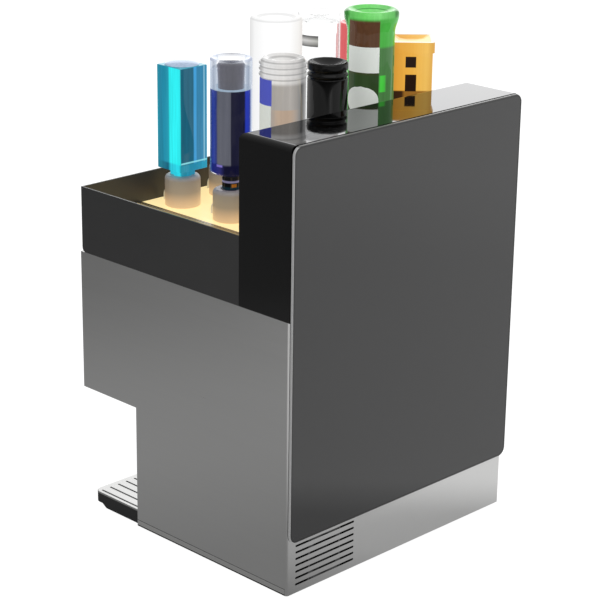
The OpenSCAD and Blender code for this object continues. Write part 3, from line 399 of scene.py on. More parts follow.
def make_camera():
    a, e, r = (math.radians(v) for v in (CAMERA_AZIMUTH, CAMERA_ELEVATION, CAMERA_ROLL))
    back = np.array([math.sin(a) * math.cos(e), -math.cos(a) * math.cos(e), math.sin(e)])
    right = np.cross(-back, [0, 0, 1])
    right /= np.linalg.norm(right)
    up = np.cross(right, -back)
    right, up = math.cos(r) * right + math.sin(r) * up, -math.sin(r) * right + math.cos(r) * up
    data = bpy.data.cameras.new("camera")
    data.sensor_width = 36.0
    data.lens = CAMERA_LENS
    camera = bpy.data.objects.new("camera", data)
    camera.matrix_world = Matrix([[*row, t] for row, t in zip(np.stack([right, up, back], 1), CAMERA_PLACE)]
                                 + [[0, 0, 0, 1]])
    bpy.context.scene.collection.objects.link(camera)
    bpy.context.scene.camera = camera


def make_world():
    """White to the camera and through glass; a soft grey room for light and for reflections."""
    world = bpy.data.worlds.new("studio")
    bpy.context.scene.world = world
    world.use_nodes = True
    sky = Nodes(world.node_tree)
    rays = {wire.socket.name: wire for wire in sky.node("ShaderNodeLightPath")}
    lean = sky.node("ShaderNodeVectorMath", {"operation": "DOT_PRODUCT"},
                    {0: sky.node("ShaderNodeTexCoord")[0], 1: BRIGHT_SIDE})[1]
    level = sky.node("ShaderNodeMapRange", None, {"Value": lean, "From Min": -0.9, "From Max": 0.9,
                                                  "To Min": 0.22, "To Max": 1.0})[0]
    white, room = (sky.node("ShaderNodeBackground", None, {0: (1, 1, 1), 1: strength})[0]
                   for strength in (1.0, level))
    shown = rays["Is Camera Ray"].larger(rays["Is Transmission Ray"])
    blend = sky.node("ShaderNodeMixShader", None, {0: shown, 1: room, 2: white})[0]
    sky.tree.links.new(blend.socket, sky.tree.nodes["World Output"].inputs[0])


# What a mirror-like face sees of the floor: (metres from the middle towards -X +Y, brightness)
FLOOR_SEEN = [(-2.6, 0.18), (-1.7, 0.20), (-1.5, 0.25), (-1.0, 0.35), (-0.6, 0.35), (-0.2, 0.28), (0.0, 0.28),
              (0.19, 0.52), (0.35, 0.56), (0.5, 1.0), (1.9, 1.02), (2.8, 1.2)]


def make_floor():
    """A wide white floor. To reflections it is darker on the +X, -Y side, as a studio's is."""
    mesh = bpy.data.meshes.new("floor")
    size = 14.0
    mesh.from_pydata([(-size, -size, 0), (size, -size, 0), (size, size, 0), (-size, size, 0)], [],
                     [(0, 1, 2, 3)])
    floor = bpy.data.objects.new("floor", mesh)
    bpy.context.scene.collection.objects.link(floor)
    paint = Paint("floor_white")
    parts = paint.place()[1]
    by_name = {wire.socket.name: wire for wire in paint.node("ShaderNodeLightPath")}
    first, last = FLOOR_SEEN[0][0], FLOOR_SEEN[-1][0]
    across = ((parts[1] - parts[0]) * math.sqrt(0.5) - first) / (last - first)
    toward = (parts[0] + parts[1]) * math.sqrt(0.5)
    mirror = paint.ramp(across, [((u - first) / (last - first), (level / 2,) * 3) for u,
                               level in FLOOR_SEEN]) * 2
    # bends and round bottles look back towards the camera's side, where a light wall stands
    near = toward.above(0.85, 0.4)
    seen = mirror * (1 - near) + near * 0.8
    paint.set(Base_Color=grey(0.86), Roughness=0.9)
    shown = paint.node("ShaderNodeEmission", None, {"Color": (1, 1, 1), "Strength": 1.25})[0]
    mirrored = paint.node("ShaderNodeEmission", None, {"Color": (1, 1, 1), "Strength": seen})[0]
    shader = Wire(paint, paint.shader.outputs[0])
    lifted = paint.node("ShaderNodeMixShader", None, {0: 0.80, 1: shader, 2: shown})[0]
    plain = paint.node("ShaderNodeMixShader", None, {0: by_name["Is Glossy Ray"], 1: shader, 2: mirrored})[0]
    direct = by_name["Is Camera Ray"].larger(by_name["Is Transmission Ray"])
    final = paint.node("ShaderNodeMixShader", None, {0: direct, 1: plain, 2: lifted})[0]
    paint.tree.links.new(final.socket, paint.output.inputs[0])
    mesh.materials.append(paint.material)


def soft_box(name, place, target, size, radiance):
    """A square lamp that faces a target; its power follows from the radiance of its face."""
    data = bpy.data.lights.new(name, "AREA")
    data.shape = "RECTANGLE"
    data.size, data.size_y = size
    data.energy = radiance * math.pi * size[0] * size[1]
    lamp = bpy.data.objects.new(name, data)
    look = np.array(target, float) - np.array(place, float)
    look /= np.linalg.norm(look)
    right = np.cross(look, [0, 0, 1])
    right /= np.linalg.norm(right)
    up = np.cross(right, look)
    lamp.matrix_world = Matrix([[*row, t] for row, t in zip(np.stack([right, up, -look], 1), place)]
                               + [[0, 0, 0, 1]])
    lamp.visible_camera = False
    lamp.visible_transmission = False
    bpy.context.scene.collection.objects.link(lamp)


make_camera()
make_world()
make_floor()
MIDDLE = (0, 0, 0.45)
soft_box("back_box", place=(-2.6, -2.5, 1.75), target=MIDDLE, size=(3.2, 1.9), radiance=1.3)
soft_box("top_box", place=(0.6, 1.2, 3.2), target=MIDDLE, size=(2.6, 2.6), radiance=1.0)

scene = bpy.context.scene
scene.view_settings.view_transform = "Standard"

# -------- finishes of the CAD nodes

STEEL = (0.60, 0.60, 0.595)
FINISH = {
    "body_wrap": metal("body_steel_finish", STEEL, 0.30, "Y"),
    "base_pan": metal("base_steel_finish", (0.64, 0.64, 0.63), 0.36, "Y", shade_below=8.5 * MM),
    "splash_panel": metal("splash_steel_finish", STEEL, 0.28, "X"),
    "inner": metal("inner_steel_finish", (0.62, 0.62, 0.61), 0.35, "X"),
    "grille": metal("grille_steel_finish", (0.41, 0.41, 0.405), 0.22, "Y", 0.05),
    "front_glass": lacquer("front_glass_finish", (0.006, 0.006, 0.007), 0.03),
    "hood": hood_lacquer("hood_finish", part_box("hood_shell")[1].z),
    "plate": lacquer("plate_finish", (0.018, 0.018, 0.0185), 0.10, 0.12),
    "spill": metal("spill_steel_finish", (0.5, 0.46, 0.37), 0.4, "Y"),
    "tray": plastic("tray_finish", (0.030, 0.030, 0.0305), 0.38),
    "drip": plastic("drip_tray_finish", (0.006, 0.006, 0.0065), 0.45),
    "connector": moulded_socket("connector_painted_deck_light", (0.40, 0.37, 0.345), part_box("front_connectors")[0].z,
                                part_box("front_connectors")[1].z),
    "hose": plastic("hose_finish", (0.88, 0.88, 0.86), 0.3, 0.03),
    "rubber": plastic("foot_finish", grey(0.02), 0.8, 0.2, 500.0, 0.4),
    "black": plastic("moulded_black_finish", (0.03, 0.03, 0.032), 0.45),
    "white": plastic("moulded_white_finish", (0.78, 0.78, 0.75), 0.4, 0.04),
    "board": plastic("board_finish", (0.03, 0.16, 0.08), 0.35, 0.2, 300.0, 0.2),
    "brass": metal("brass_finish", (0.75, 0.6, 0.28), 0.3, "Y"),
    "screw": metal("screw_finish", grey(0.7), 0.25, "Z"),
    "motor": metal("motor_finish", (0.55, 0.55, 0.56), 0.45, "Y"),
    "lens": lit_acrylic("bay_light_finish", (1.0, 0.9, 0.7), 1.2),
    "deck": lit_acrylic("deck_finish", (1.0, 0.80, 0.40), 0.85),
    "clear": glass("clear_cover_finish", (0.9, 0.94, 0.96)),
    "display": plastic("display_finish", (0.02, 0.025, 0.035), 0.2, 0.1),
}
WEARS = {
    "body_wrap": "body_wrap", "base_pan": "base_pan", "splash_panel": "splash_panel head_floor",
    "inner": "top_plate display_bracket deck_rails electronics_plate pump_bracket",
    "front_glass": "front_glass", "display": "display_module",
    "black": "nozzle_block feed_valves pump_housing plate_standoffs fan_frame fan_rotor power_inlet "
             "rocker_switch",
    "lens": "bay_light", "tray": "bottle_tray", "deck": "lit_deck", "spill": "spill_strip",
    "white": "light_strips collector_manifold pump_rotor",
    "connector": "front_connectors middle_connectors rear_connectors", "hose": "feed_hoses delivery_tube",
    "screw": "pump_shaft foot_screws", "motor": "pump_motor power_supply", "clear": "pump_cover",
    "hood": "hood_shell", "plate": "rear_plate", "brass": "board_standoffs", "board": "controller_board",
    "drip": "drip_tray", "grille": "drip_grille", "rubber": "rubber_feet",
}
for finish, names in WEARS.items():
    for name in names.split():
        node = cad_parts[name]
        node.data.materials.clear()
        node.data.materials.append(FINISH[finish])

# -------- the rear plate

def plate_outline(grow, corner=16 * MM, count=14):
    """Points (x, z) round the rear plate with its round corners, grown outwards."""
    low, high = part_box("rear_plate")
    middle_z, half_w, half_h = (low.z + high.z) / 2, (high.x - low.x) / 2, (high.z - low.z) / 2
    out = []
    for quarter in range(4):
        sx, sz = (1, 1, -1, -1)[quarter], (1, -1, -1, 1)[quarter]
        angle = np.radians(90 * (1 - quarter) - np.linspace(0, 90, count))
        out.append(np.stack([sx * (half_w - corner) + (corner + grow) * np.cos(angle),
                             middle_z + sz * (half_h - corner) + (corner + grow) * np.sin(angle)], 1))
    return np.vstack(out)


def plate_rings(name, rows, material, closed=False):
    """A skin through rings round the plate, each given by how far it is grown and its y."""
    points = np.array([[x, y, z] for grow, y in rows for x, z in plate_outline(grow)])
    count = len(points) // len(rows)
    faces = grid_faces(len(rows), count)
    if closed:
        faces += [list(range(count))[::-1], list(range(len(points) - count, len(points)))]
    return mesh_piece(name, points, faces, material, "machine", smooth=False)


def painted_edge_highlight(name, top):
    """The plate's edge band, a painted highlight: pale, but for its upper side, which is painted dark."""
    paint = Paint(name)
    # painted light: a pale highlight band, painted dark along the top edge
    upper = paint.place()[1][2].above(top - 1.5 * MM, 1 * MM)
    paint.set(Base_Color=paint.mix(upper, grey(0.44), grey(0.10)),
              Roughness=0.3 + (paint.noise(200.0) - 0.5) * 0.05)
    return paint.material


def rear_plate():
    """The plate, a painted highlight band round its edge and a painted shadow line on its face beside the
    band.
    """
    low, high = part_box("rear_plate")
    back, face = low.y, high.y
    plate = plate_rings("rear_plate_sheet", [(-0.8 * MM, back), (0, back + 0.8 * MM), (0, face - 0.8 * MM),
                                             (-0.8 * MM, face)], FINISH["plate"], closed=True)
    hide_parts("rear_plate")
    plate_rings("plate_edge_highlight_band", [(0.25 * MM, back + 0.2 * MM), (0.25 * MM, face - 0.9 * MM),
                                    (-0.3 * MM, face - 0.1 * MM), (-0.7 * MM, face + 0.1 * MM)],
                painted_edge_highlight("plate_edge_painted_highlight", high.z))
    # painted shadow: a dark line on the plate's face beside the edge band, where the shadow gap lies
    plate_rings("plate_edge_shadow_line", [(-0.6 * MM, face + 0.12 * MM), (-3.4 * MM, face + 0.12 * MM)],
                plastic("plate_shadow_line_paint", grey(0.012), 0.3, 0.02))


rear_plate()

# -------- low strips and grille slots

def side_strips(top=17.7 * MM, seam=0.8 * MM, front=-126.1 * MM, end=260.9 * MM):
    """The steel strip along the foot of both sides, and the dark seam above it."""
    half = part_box("body_wrap")[1].x
    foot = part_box("base_pan")[0].z

    def along(name, section, material):
        section = np.asarray(section)
        parts = []
        for side in (-1, 1):
            points = [[side * (half + out), y, z] for y in (front, end) for out, z in section]
            faces = grid_faces(2, len(section))
            parts.append((np.array(points), faces if side > 0 else [face[::-1] for face in faces]))
        mesh_piece(name, *joined(*parts), material, "machine", smooth=False)

    along("side_strip_steel", [(-0.1 * MM, foot), (0.2 * MM, foot), (0.25 * MM, foot + 0.3 * MM),
                               (0.25 * MM, top - 0.4 * MM), (-0.1 * MM, top)], FINISH["base_pan"])
    along("side_strip_seam", [(-0.1 * MM, top - 0.2 * MM), (0.12 * MM, top - 0.2 * MM),
                              (0.12 * MM, top + seam), (-0.1 * MM, top + seam)], FINISH["black"])


def slot_shadows(pitch=19.8 * MM, half=2.0 * MM, edge=14 * MM):
    """The dark inside of the grille's slots, a little proud of the bars that cross them."""
    low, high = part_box("drip_grille")
    count = int((high.x - edge / 2) / pitch + 0.5)
    points, faces = [], []
    for x in [side * (i + 0.5) * pitch for i in range(count) for side in (-1, 1)]:
        start = len(points)
        for y, turn in ((low.y + edge, 180), (high.y - edge, 0)):
            angle = np.radians(turn + np.linspace(0, 180, 9))
            points += [[x + half * math.cos(a), y + half * math.sin(a), high.z + 0.1 * MM] for a in angle]
        faces.append(list(range(start, len(points))))
    mesh_piece("slot_shadows", points, faces, plastic("slot_shadow_finish", grey(0.05), 0.6), "drip_grille")


side_strips()
slot_shadows()

# -------- bottles

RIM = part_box("front_connectors")[1].z
WALL = 3.5 * MM
NECK_R, BORE_R = 16 * MM, 10 * MM
OVERLAP = 0.15 * MM
SEAT = RIM + 0.5 * MM
# the bottles' heights are counted from a little below the connectors' rim
ZERO = RIM - 3 * MM
FACING = math.radians(CAMERA_AZIMUTH - 90)


def up(height):
    """Height of a point of a bottle, given in millimetres above ZERO."""
    return ZERO + height * MM


def place_of(node):
    """Middle and lowest point of an upright node."""
    low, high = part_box(node)
    return ((low.x + high.x) / 2, (low.y + high.y) / 2), low.z


class Streaks:
    """Paint for one bottle: the glass's own colour with its light, shade, reflections and refractions painted
    in. Glass shows long streaks from top to bottom, so these colours are laid out in bands across the bottle
    and in zones up it, on Object coordinates round its axis."""

    def __init__(self, name, node, radius):
        self.paint = Paint(name)
        self.centre = place_of(node)[0]
        self.radius = radius
        parts = self.paint.place()[1]
        self.dx, self.dy, self.z = parts[0] - self.centre[0], parts[1] - self.centre[1], parts[2]
        self.share = (self.dy * math.cos(FACING) - self.dx * math.sin(FACING)) / self.radius
        self.wobble = (self.paint.noise(1.0, 2.0, (60.0, 60.0, 12.0)) - 0.5) * 0.05
        self.streak = self.paint.noise(1.0, 3.0, (210.0, 210.0, 9.0))
        self.mix = self.paint.mix

    def bands(self, stops):
        """Colours across: share -1 is the bottle's edge on the +X side, 1 the one on the -X side."""
        return self.paint.ramp((self.share + self.wobble) * 0.5 + 0.5, [((u + 1) / 2, c) for u, c in stops])

    def round_corner(self, half, stops):
        """Colours round a square bottle: -1 to 0 is the +X side towards +Y, 0 to 1 the +Y side."""
        along = (self.dy - self.dx + self.wobble * 0.03) / (4 * half) + 0.5
        return self.paint.ramp(along, [((u + 1) / 2, c) for u, c in stops])

    def window(self, left, right, low, high, soft=0.03):
        """1 inside a patch between two shares and two heights."""
        return self.share.within(left, right, soft) * self.z.within(up(low), up(high), 1.2 * MM)

    def from_axis(self, radius, soft=2 * MM):
        """1 outside a distance from the axis."""
        return (self.dx * self.dx + self.dy * self.dy).sqrt().above(radius, soft)

    def finish(self, colour, glow=0.9, own=0.12, roughness=0.03, ior=1.3, streaky=0.3, see=None,
               tint=(1, 1, 1)):
        """Ends the material: the colour, with the glass's light and shade painted in, is given off as
        emission, a painted glow, with fine painted streaks of shade up it, under a smooth surface. Where a
        share is to be seen through, it is mixed with plain tinted glass."""
        paint = self.paint
        # painted light: the colour, streaked with painted shade, is given off as emission
        shade = paint.mix(self.streak.above(0.5, 0.5) * streaky, colour, paint.mix(0.55, grey(0), colour))
        paint.set(Base_Color=paint.mix(own, grey(0), colour), Emission_Color=shade, Emission_Strength=glow,
                  Roughness=roughness, IOR=ior)
        if see is not None:
            through = paint.node("ShaderNodeBsdfPrincipled", None, {
                "Base Color": tint, "Roughness": 0.0, "Transmission Weight": 1.0, "IOR": 1.04})[0]
            blend = paint.node("ShaderNodeMixShader", None, {0: see, 1: Wire(paint, paint.shader.outputs[0]),
                                                             2: through})[0]
            paint.tree.links.new(blend.socket, paint.output.inputs[0])
        return paint.bump(paint.noise(25.0, 1.0), 0.03, 0.0005).material


def cyan_glass():
    coat = Streaks("cyan_glass", "square_blue_bottle", 32.25 * MM)
    teal, bright, slate = (0.014, 0.27, 0.41), (0.03, 0.93, 0.97), (0.014, 0.12, 0.19)
    # painted light on the cyan glass: the bright cyan streak on the +X side, the darker teal and slate bands,
    # a light line near the +Y edge and the bright and dark patches of the foot
    body = coat.round_corner(coat.radius, [
        (-0.98, (0.02, 0.34, 0.45)), (-0.90, (0.02, 0.24, 0.36)), (-0.72, teal),
        (-0.53, (0.02, 0.33, 0.46)), (-0.47, bright), (-0.03, bright), (0.0, (0.02, 0.22, 0.30)),
        (0.03, slate), (0.46, (0.014, 0.13, 0.21)), (0.51, (0.05, 0.36, 0.72)), (0.57, (0.05, 0.36, 0.72)),
        (0.61, (0.03, 0.22, 0.40)), (0.84, (0.03, 0.24, 0.44)), (0.88, (0.30, 0.62, 0.78)),
        (0.92, (0.03, 0.24, 0.44)), (1.0, (0.05, 0.40, 0.60))])
    foot = coat.round_corner(coat.radius, [
        (-1.0, (0.02, 0.26, 0.36)), (-0.55, (0.01, 0.12, 0.20)), (-0.45, (0.03, 0.60, 0.75)),
        (-0.1, (0.03, 0.80, 0.95)), (0.0, (0.02, 0.30, 0.42)), (0.5, (0.02, 0.26, 0.42)),
        (1.0, (0.03, 0.38, 0.56))])
    colour = coat.mix(coat.z.above(up(30), 5 * MM), foot, body)
    # painted highlight: a pale line along the lower bevel on the +Y side
    line = coat.z.within(up(31), up(34), 1.2 * MM) * (coat.dy - coat.dx).above(0.0, 2 * MM)
    colour = coat.mix(line * 0.8, colour, (0.30, 0.86, 0.95))
    colour = coat.mix(coat.z.above(up(207.3), 0.8 * MM), colour, (0.05, 0.33, 0.44))
    colour = coat.mix(coat.z.above(up(208.8), 1.5 * MM), colour, (0.42, 0.52, 0.68))
    return coat.finish(colour, 0.95, streaky=0.45)


def navy_drink():
    coat = Streaks("blue_drink", "blue_liquid", 34 * MM)
    # the drink's own navy with painted light: the grey band is a painted refraction and the bright blue bands
    # painted glints
    body = coat.bands([
        (-1.0, (0.01, 0.02, 0.16)), (-0.92, (0.03, 0.06, 0.36)), (-0.74, (0.02, 0.035, 0.20)),
        (-0.68, (0.10, 0.105, 0.14)), (-0.60, (0.125, 0.13, 0.16)), (0.0, (0.115, 0.12, 0.15)),
        (0.05, (0.015, 0.015, 0.035)), (0.72, (0.010, 0.010, 0.035)), (0.78, (0.02, 0.04, 0.45)),
        (0.92, (0.02, 0.04, 0.42)), (1.0, (0.01, 0.02, 0.14))])
    foot = coat.bands([
        (-1.0, (0.01, 0.02, 0.20)), (-0.55, (0.03, 0.03, 0.16)), (-0.3, (0.008, 0.008, 0.03)),
        (0.5, (0.006, 0.006, 0.03)), (1.0, (0.01, 0.02, 0.20))])
    colour = coat.mix(coat.z.above(up(53), 5 * MM), foot, body)
    # painted glint: a purple patch low on the +X side
    colour = coat.mix(coat.window(-0.72, -0.42, 49, 53), colour, (0.20, 0.16, 0.55))
    colour = coat.mix(coat.z.above(up(186.2), 0.8 * MM), colour, (0.34, 0.45, 0.57))
    return coat.finish(colour, 0.9, ior=1.15)


def blue_wall():
    coat = Streaks("blue_bottle_glass", "round_blue_bottle", 37.5 * MM)
    pale = (0.45, 0.54, 0.70)
    # painted light on the blue glass: a pale highlight near the -X edge; above the drink and at the rim, the
    # light bands of lit empty glass
    body = coat.bands([
        (-1.0, (0.02, 0.035, 0.16)), (-0.93, (0.03, 0.05, 0.22)), (0.9, (0.10, 0.14, 0.5)), (0.95, pale),
        (1.0, (0.20, 0.25, 0.45))])
    empty = coat.bands([
        (-1.0, (0.25, 0.29, 0.42)), (-0.94, (0.62, 0.70, 0.82)), (-0.8, (0.34, 0.40, 0.52)),
        (-0.7, (0.52, 0.60, 0.72)), (0.7, (0.50, 0.58, 0.70)), (0.82, (0.34, 0.40, 0.52)),
        (0.93, (0.62, 0.70, 0.82)), (1.0, (0.25, 0.29, 0.42))])
    rim = coat.bands([
        (-1.0, (0.34, 0.38, 0.52)), (-0.7, (0.66, 0.72, 0.84)), (0.0, (0.20, 0.21, 0.27)),
        (0.7, (0.66, 0.72, 0.84)), (1.0, (0.34, 0.38, 0.52))])
    colour = coat.mix(coat.z.above(up(187), 2 * MM), body, empty)
    colour = coat.mix(coat.z.above(up(238), 3 * MM), colour, rim)
    side = 1 - coat.share.within(-0.66, 0.66, 0.08)
    edge = 1 - coat.share.within(-0.9, 0.9, 0.04)
    dry = coat.z.above(up(187), 2 * MM)
    solid = edge * (1 - dry) * 0.85 + side * dry * 0.55 + coat.z.above(up(238), 2 * MM) * 0.4
    return coat.finish(colour, 0.9, see=1 - solid, tint=(0.985, 0.99, 1.0), streaky=0.3)


def blue_hollow_painted_shade():
    coat = Streaks("blue_hollow_painted_shade", "round_blue_bottle", 24 * MM)
    # painted shade: a grey form inside the empty upper glass, standing for how its hollow looks, given off as
    # emission
    colour = coat.bands([
        (-1.0, (0.22, 0.23, 0.28)), (-0.75, (0.14, 0.14, 0.165)), (0.3, (0.13, 0.13, 0.15)),
        (0.8, (0.16, 0.16, 0.19)), (1.0, (0.26, 0.27, 0.32))])
    return coat.finish(colour, 0.9, ior=1.15)


def dark_neck():
    coat = Streaks("dark_neck_glass", "round_blue_bottle", 16 * MM)
    low, high = up(0), up(38)
    # painted light on the dark neck: a grey ring at the top, a lavender band and an orange glint painted as
    # highlights
    colour = coat.paint.ramp((coat.z - low) / (high - low), [
        (0.0, (0.004, 0.02, 0.03)), (0.20, (0.004, 0.02, 0.03)), (0.24, (0.004, 0.004, 0.005)),
        (0.40, (0.004, 0.004, 0.005)), (0.44, (0.22, 0.20, 0.34)), (0.50, (0.18, 0.17, 0.28)),
        (0.54, (0.006, 0.006, 0.008)), (0.76, (0.008, 0.008, 0.010)), (0.80, (0.18, 0.18, 0.19)),
        (1.0, (0.2, 0.2, 0.21))])
    colour = coat.mix(coat.window(0.1, 0.65, 8, 14), colour, (0.30, 0.10, 0.01))
    return coat.finish(colour, 0.9)


def pale_glass():
    """The ringed bottle: thick clear glass, painted with the milky warm grey it shows, its light and shade
    included.
    """
    coat = Streaks("ringed_glass", "ringed_bottle", 39.5 * MM)
    body = coat.bands([
        (-1.0, grey(0.20)), (-0.93, grey(0.66)), (-0.55, grey(0.55)), (-0.46, grey(0.35, 0.04)),
        (-0.1, grey(0.39, 0.06)), (0.35, grey(0.43, 0.06)), (0.6, grey(0.34, 0.05)), (0.74, grey(0.26)),
        (0.82, grey(0.10)), (0.90, grey(0.24)), (1.0, grey(0.50))])
    rings = coat.bands([
        (-1.0, grey(0.30)), (-0.8, grey(0.74)), (0.0, grey(0.76, 0.02)), (0.6, grey(0.60, 0.02)),
        (0.85, grey(0.34)), (1.0, grey(0.5))])
    warm = coat.mix(coat.window(-0.4, 0.55, 120, 178, 0.5), body, (0.50, 0.38, 0.29))
    colour = coat.mix(coat.z.above(up(222), 8 * MM), warm, rings)
    # painted shade: each ring and the cap end in a darker line
    for line in (229.5, 239, 249, 258.5):
        colour = coat.mix(coat.z.within(up(line - 1.2), up(line + 1.2), 1 * MM) * 0.55, colour, grey(0.22))
    return coat.finish(colour, 0.92, streaky=0.15, see=0.12, tint=(0.97, 0.96, 0.95))


def frosted_wall():
    coat = Streaks("frosted_glass", "frosted_bottle", 47 * MM)
    # the frosted glass's white, painted darker towards its edges as shade; a darker line just below the top
    body = coat.bands([
        (-1.0, grey(0.66)), (-0.95, grey(0.76)), (-0.80, grey(0.90)), (-0.3, grey(0.99)), (0.5, grey(0.97)),
        (0.85, grey(0.86, 0.02)), (1.0, grey(0.70, 0.03))])
    body = coat.mix(coat.z.within(up(296.5), up(299.5), 1 * MM) * 0.5, body, grey(0.62))
    colour = coat.mix(coat.z.above(up(300.4), 0.8 * MM), body, grey(0.80))
    return coat.finish(colour, 0.97, own=0.1, roughness=0.5, streaky=0.0)


def green_wall():
    coat = Streaks("green_glass", "green_bottle", 42.75 * MM)
    # painted light on the green glass: bright windows and the light lip are painted highlights, darker greens
    # painted shade, the brown strip a painted refraction of the drink between the labels
    light, deep = (0.12, 0.50, 0.11), (0.02, 0.20, 0.02)
    brown, dark = (0.10, 0.045, 0.022), (0.03, 0.06, 0.02)
    right = coat.mix(coat.z.above(up(256), 6 * MM), (0.07, 0.20, 0.06), (0.07, 0.44, 0.06))
    right = coat.mix(coat.window(0.36, 0.60, 176, 206, 0.12), right, (0.07, 0.60, 0.06))
    right = coat.mix(coat.window(0.62, 1.1, 60, 150, 0.2), right, (0.05, 0.26, 0.05))
    strip = coat.mix(coat.z.above(up(214), 20 * MM), dark, brown)
    middle = coat.share.within(-0.92, 0.33, 0.03) * (1 - coat.z.above(up(305), 6 * MM))
    left = coat.bands([(-1.0, deep), (-0.96, light), (-0.90, (0.05, 0.42, 0.05)), (1.0, light)])
    sides = coat.mix(coat.share.above(0.33, 0.05), left, right)
    colour = coat.mix(middle, sides, strip)
    lip = coat.bands([
        (-1.1, deep), (-0.9, light), (-0.3, (0.16, 0.70, 0.14)), (0.3, (0.22, 0.74, 0.2)), (0.9, light),
        (1.1, deep)])
    colour = coat.mix(coat.z.above(up(308), 6 * MM), colour, lip)
    well = coat.z.above(up(313), 1 * MM) * (1 - coat.from_axis(30 * MM))
    colour = coat.mix(well, colour, (0.03, 0.30, 0.03))
    return coat.finish(colour, 0.92, streaky=0.4)


def amber_wall():
    coat = Streaks("amber_glass", "amber_bottle", 52 * MM)
    # painted light on the amber glass: brightest in the middle, darker at the edges and at the foot
    body = coat.bands([
        (-0.9, (0.55, 0.22, 0.03)), (-0.5, (0.80, 0.38, 0.05)), (0.0, (0.88, 0.46, 0.07)),
        (0.5, (0.92, 0.55, 0.12)), (0.9, (0.6, 0.28, 0.05))])
    foot = coat.bands([
        (-0.9, (0.02, 0.012, 0.006)), (-0.35, (0.05, 0.02, 0.008)), (-0.25, (0.30, 0.13, 0.02)),
        (0.9, (0.34, 0.15, 0.03))])
    colour = coat.mix(coat.z.above(up(161), 3 * MM), foot, body)
    colour = coat.mix(coat.window(-0.24, 0.13, 204, 224, 0.01), colour, (0.02, 0.01, 0.006))
    colour = coat.mix(coat.window(-0.24, 0.15, 160, 191, 0.01), colour, (0.022, 0.01, 0.006))
    colour = coat.mix(coat.z.above(up(250.3), 0.8 * MM), colour, (0.80, 0.66, 0.52))
    return coat.finish(colour, 0.92, streaky=0.15)


def rose_wall():
    coat = Streaks("red_bottle_glass", "red_bottle", 41.5 * MM)
    # painted light on the red glass: a pale highlight near the +X edge, darker at both edges
    colour = coat.bands([
        (-1.0, (0.55, 0.10, 0.10)), (-0.94, (0.85, 0.45, 0.45)), (-0.86, (0.75, 0.14, 0.15)),
        (0.6, (0.74, 0.12, 0.13)), (1.0, (0.55, 0.08, 0.09))])
    return coat.finish(colour, 0.9, own=0.2)


def clear_wall():
    coat = Streaks("clear_glass", "clear_bottle", 39 * MM)
    # painted light on the clear glass: darker grey at its edges, pale across it
    colour = coat.bands([
        (-1.0, grey(0.50)), (-0.9, grey(0.86)), (0.0, grey(0.80)), (0.9, grey(0.86)), (1.0, grey(0.50))])
    solid = (1 - coat.share.within(-0.93, 0.93, 0.08)) * 0.5 + coat.z.above(up(291), 3 * MM) * 0.25
    return coat.finish(colour, 0.95, see=0.96 - solid, tint=(0.985, 0.99, 0.99), streaky=0.2)


NIGHT = lacquer("black_glass", grey(0.003), 0.04, 0.0, 1.28)
WATER = glass("clear_drink", grey(0.99), ior=1.0)
RED = glass("red_drink", (0.92, 0.10, 0.10), ior=1.1)
BROWN = glass("brown_drink", (0.50, 0.16, 0.04), ior=1.36)
HONEY = glass("amber_drink", (0.95, 0.50, 0.10), ior=1.36)
MILK = plastic("white_drink", (0.88, 0.88, 0.87), 0.4, 0.02)


def glass_profile(body_r, mouth, z_neck, z_body, top, outside, punt=0.010):
    """Outline of a hollow bottle from its mouth up the outside, over the base, which is drawn in
    by a punt, and down the inside back to the mouth."""
    inner_r = body_r - WALL
    outer = np.vstack([[[NECK_R, mouth], [NECK_R, z_neck]],
                       swell(NECK_R, z_neck, body_r, z_body)[1:], outside])
    rim = outer[-1, 0]
    share = np.linspace(0, 1, 12)[1:]
    hollow = np.stack([rim * (1 - share), top - punt * np.sin(share * math.pi / 2)], 1)
    inner_top = top - punt - 2 * WALL
    inner = np.vstack([[[0, inner_top + punt * 0.6]],
                       np.stack([inner_r * 0.75 * share,
                                 inner_top + punt * 0.6 * np.cos(share * math.pi / 2)], 1),
                       arc(inner_r - 5 * MM, inner_top - 5 * MM, 5 * MM, 80, 0),
                       swell(BORE_R, z_neck, inner_r, z_body)[::-1], [[BORE_R, mouth]]])
    return outer, hollow, inner


def glass_mesh(outer, hollow, inner, centre, segments=96):
    """Outside and inside skins of the glass, joined by the ring of the mouth."""
    shell = turned(np.vstack([outer, hollow]), centre, segments)
    cave = turned(inner[::-1], centre, segments)
    mouth_ring = grid_faces(2, segments)
    points = np.vstack([shell[0], cave[0]])
    offset = len(shell[0])
    faces = shell[1] + [[i + offset for i in face[::-1]] for face in cave[1]]
    for face in mouth_ring:
        faces.append([i if i < segments else i - segments + offset for i in face][::-1])
    return points, faces


def liquid_mesh(body_r, mouth, z_neck, z_body, level, centre, segments=96):
    """The drink: the inside of the glass up to a flat level with a small curled edge."""
    inner_r = body_r - WALL + OVERLAP
    line = np.vstack([[[0, mouth], [BORE_R + OVERLAP, mouth]],
                      swell(BORE_R + OVERLAP, z_neck, inner_r, z_body),
                      [[inner_r, level + 1.2 * MM]], arc(inner_r - 2 * MM, level + 1.2 * MM, 1.2 * MM, -50,
                                                         -90, 4),
                      [[0, level]]])
    return turned(line, centre, segments)


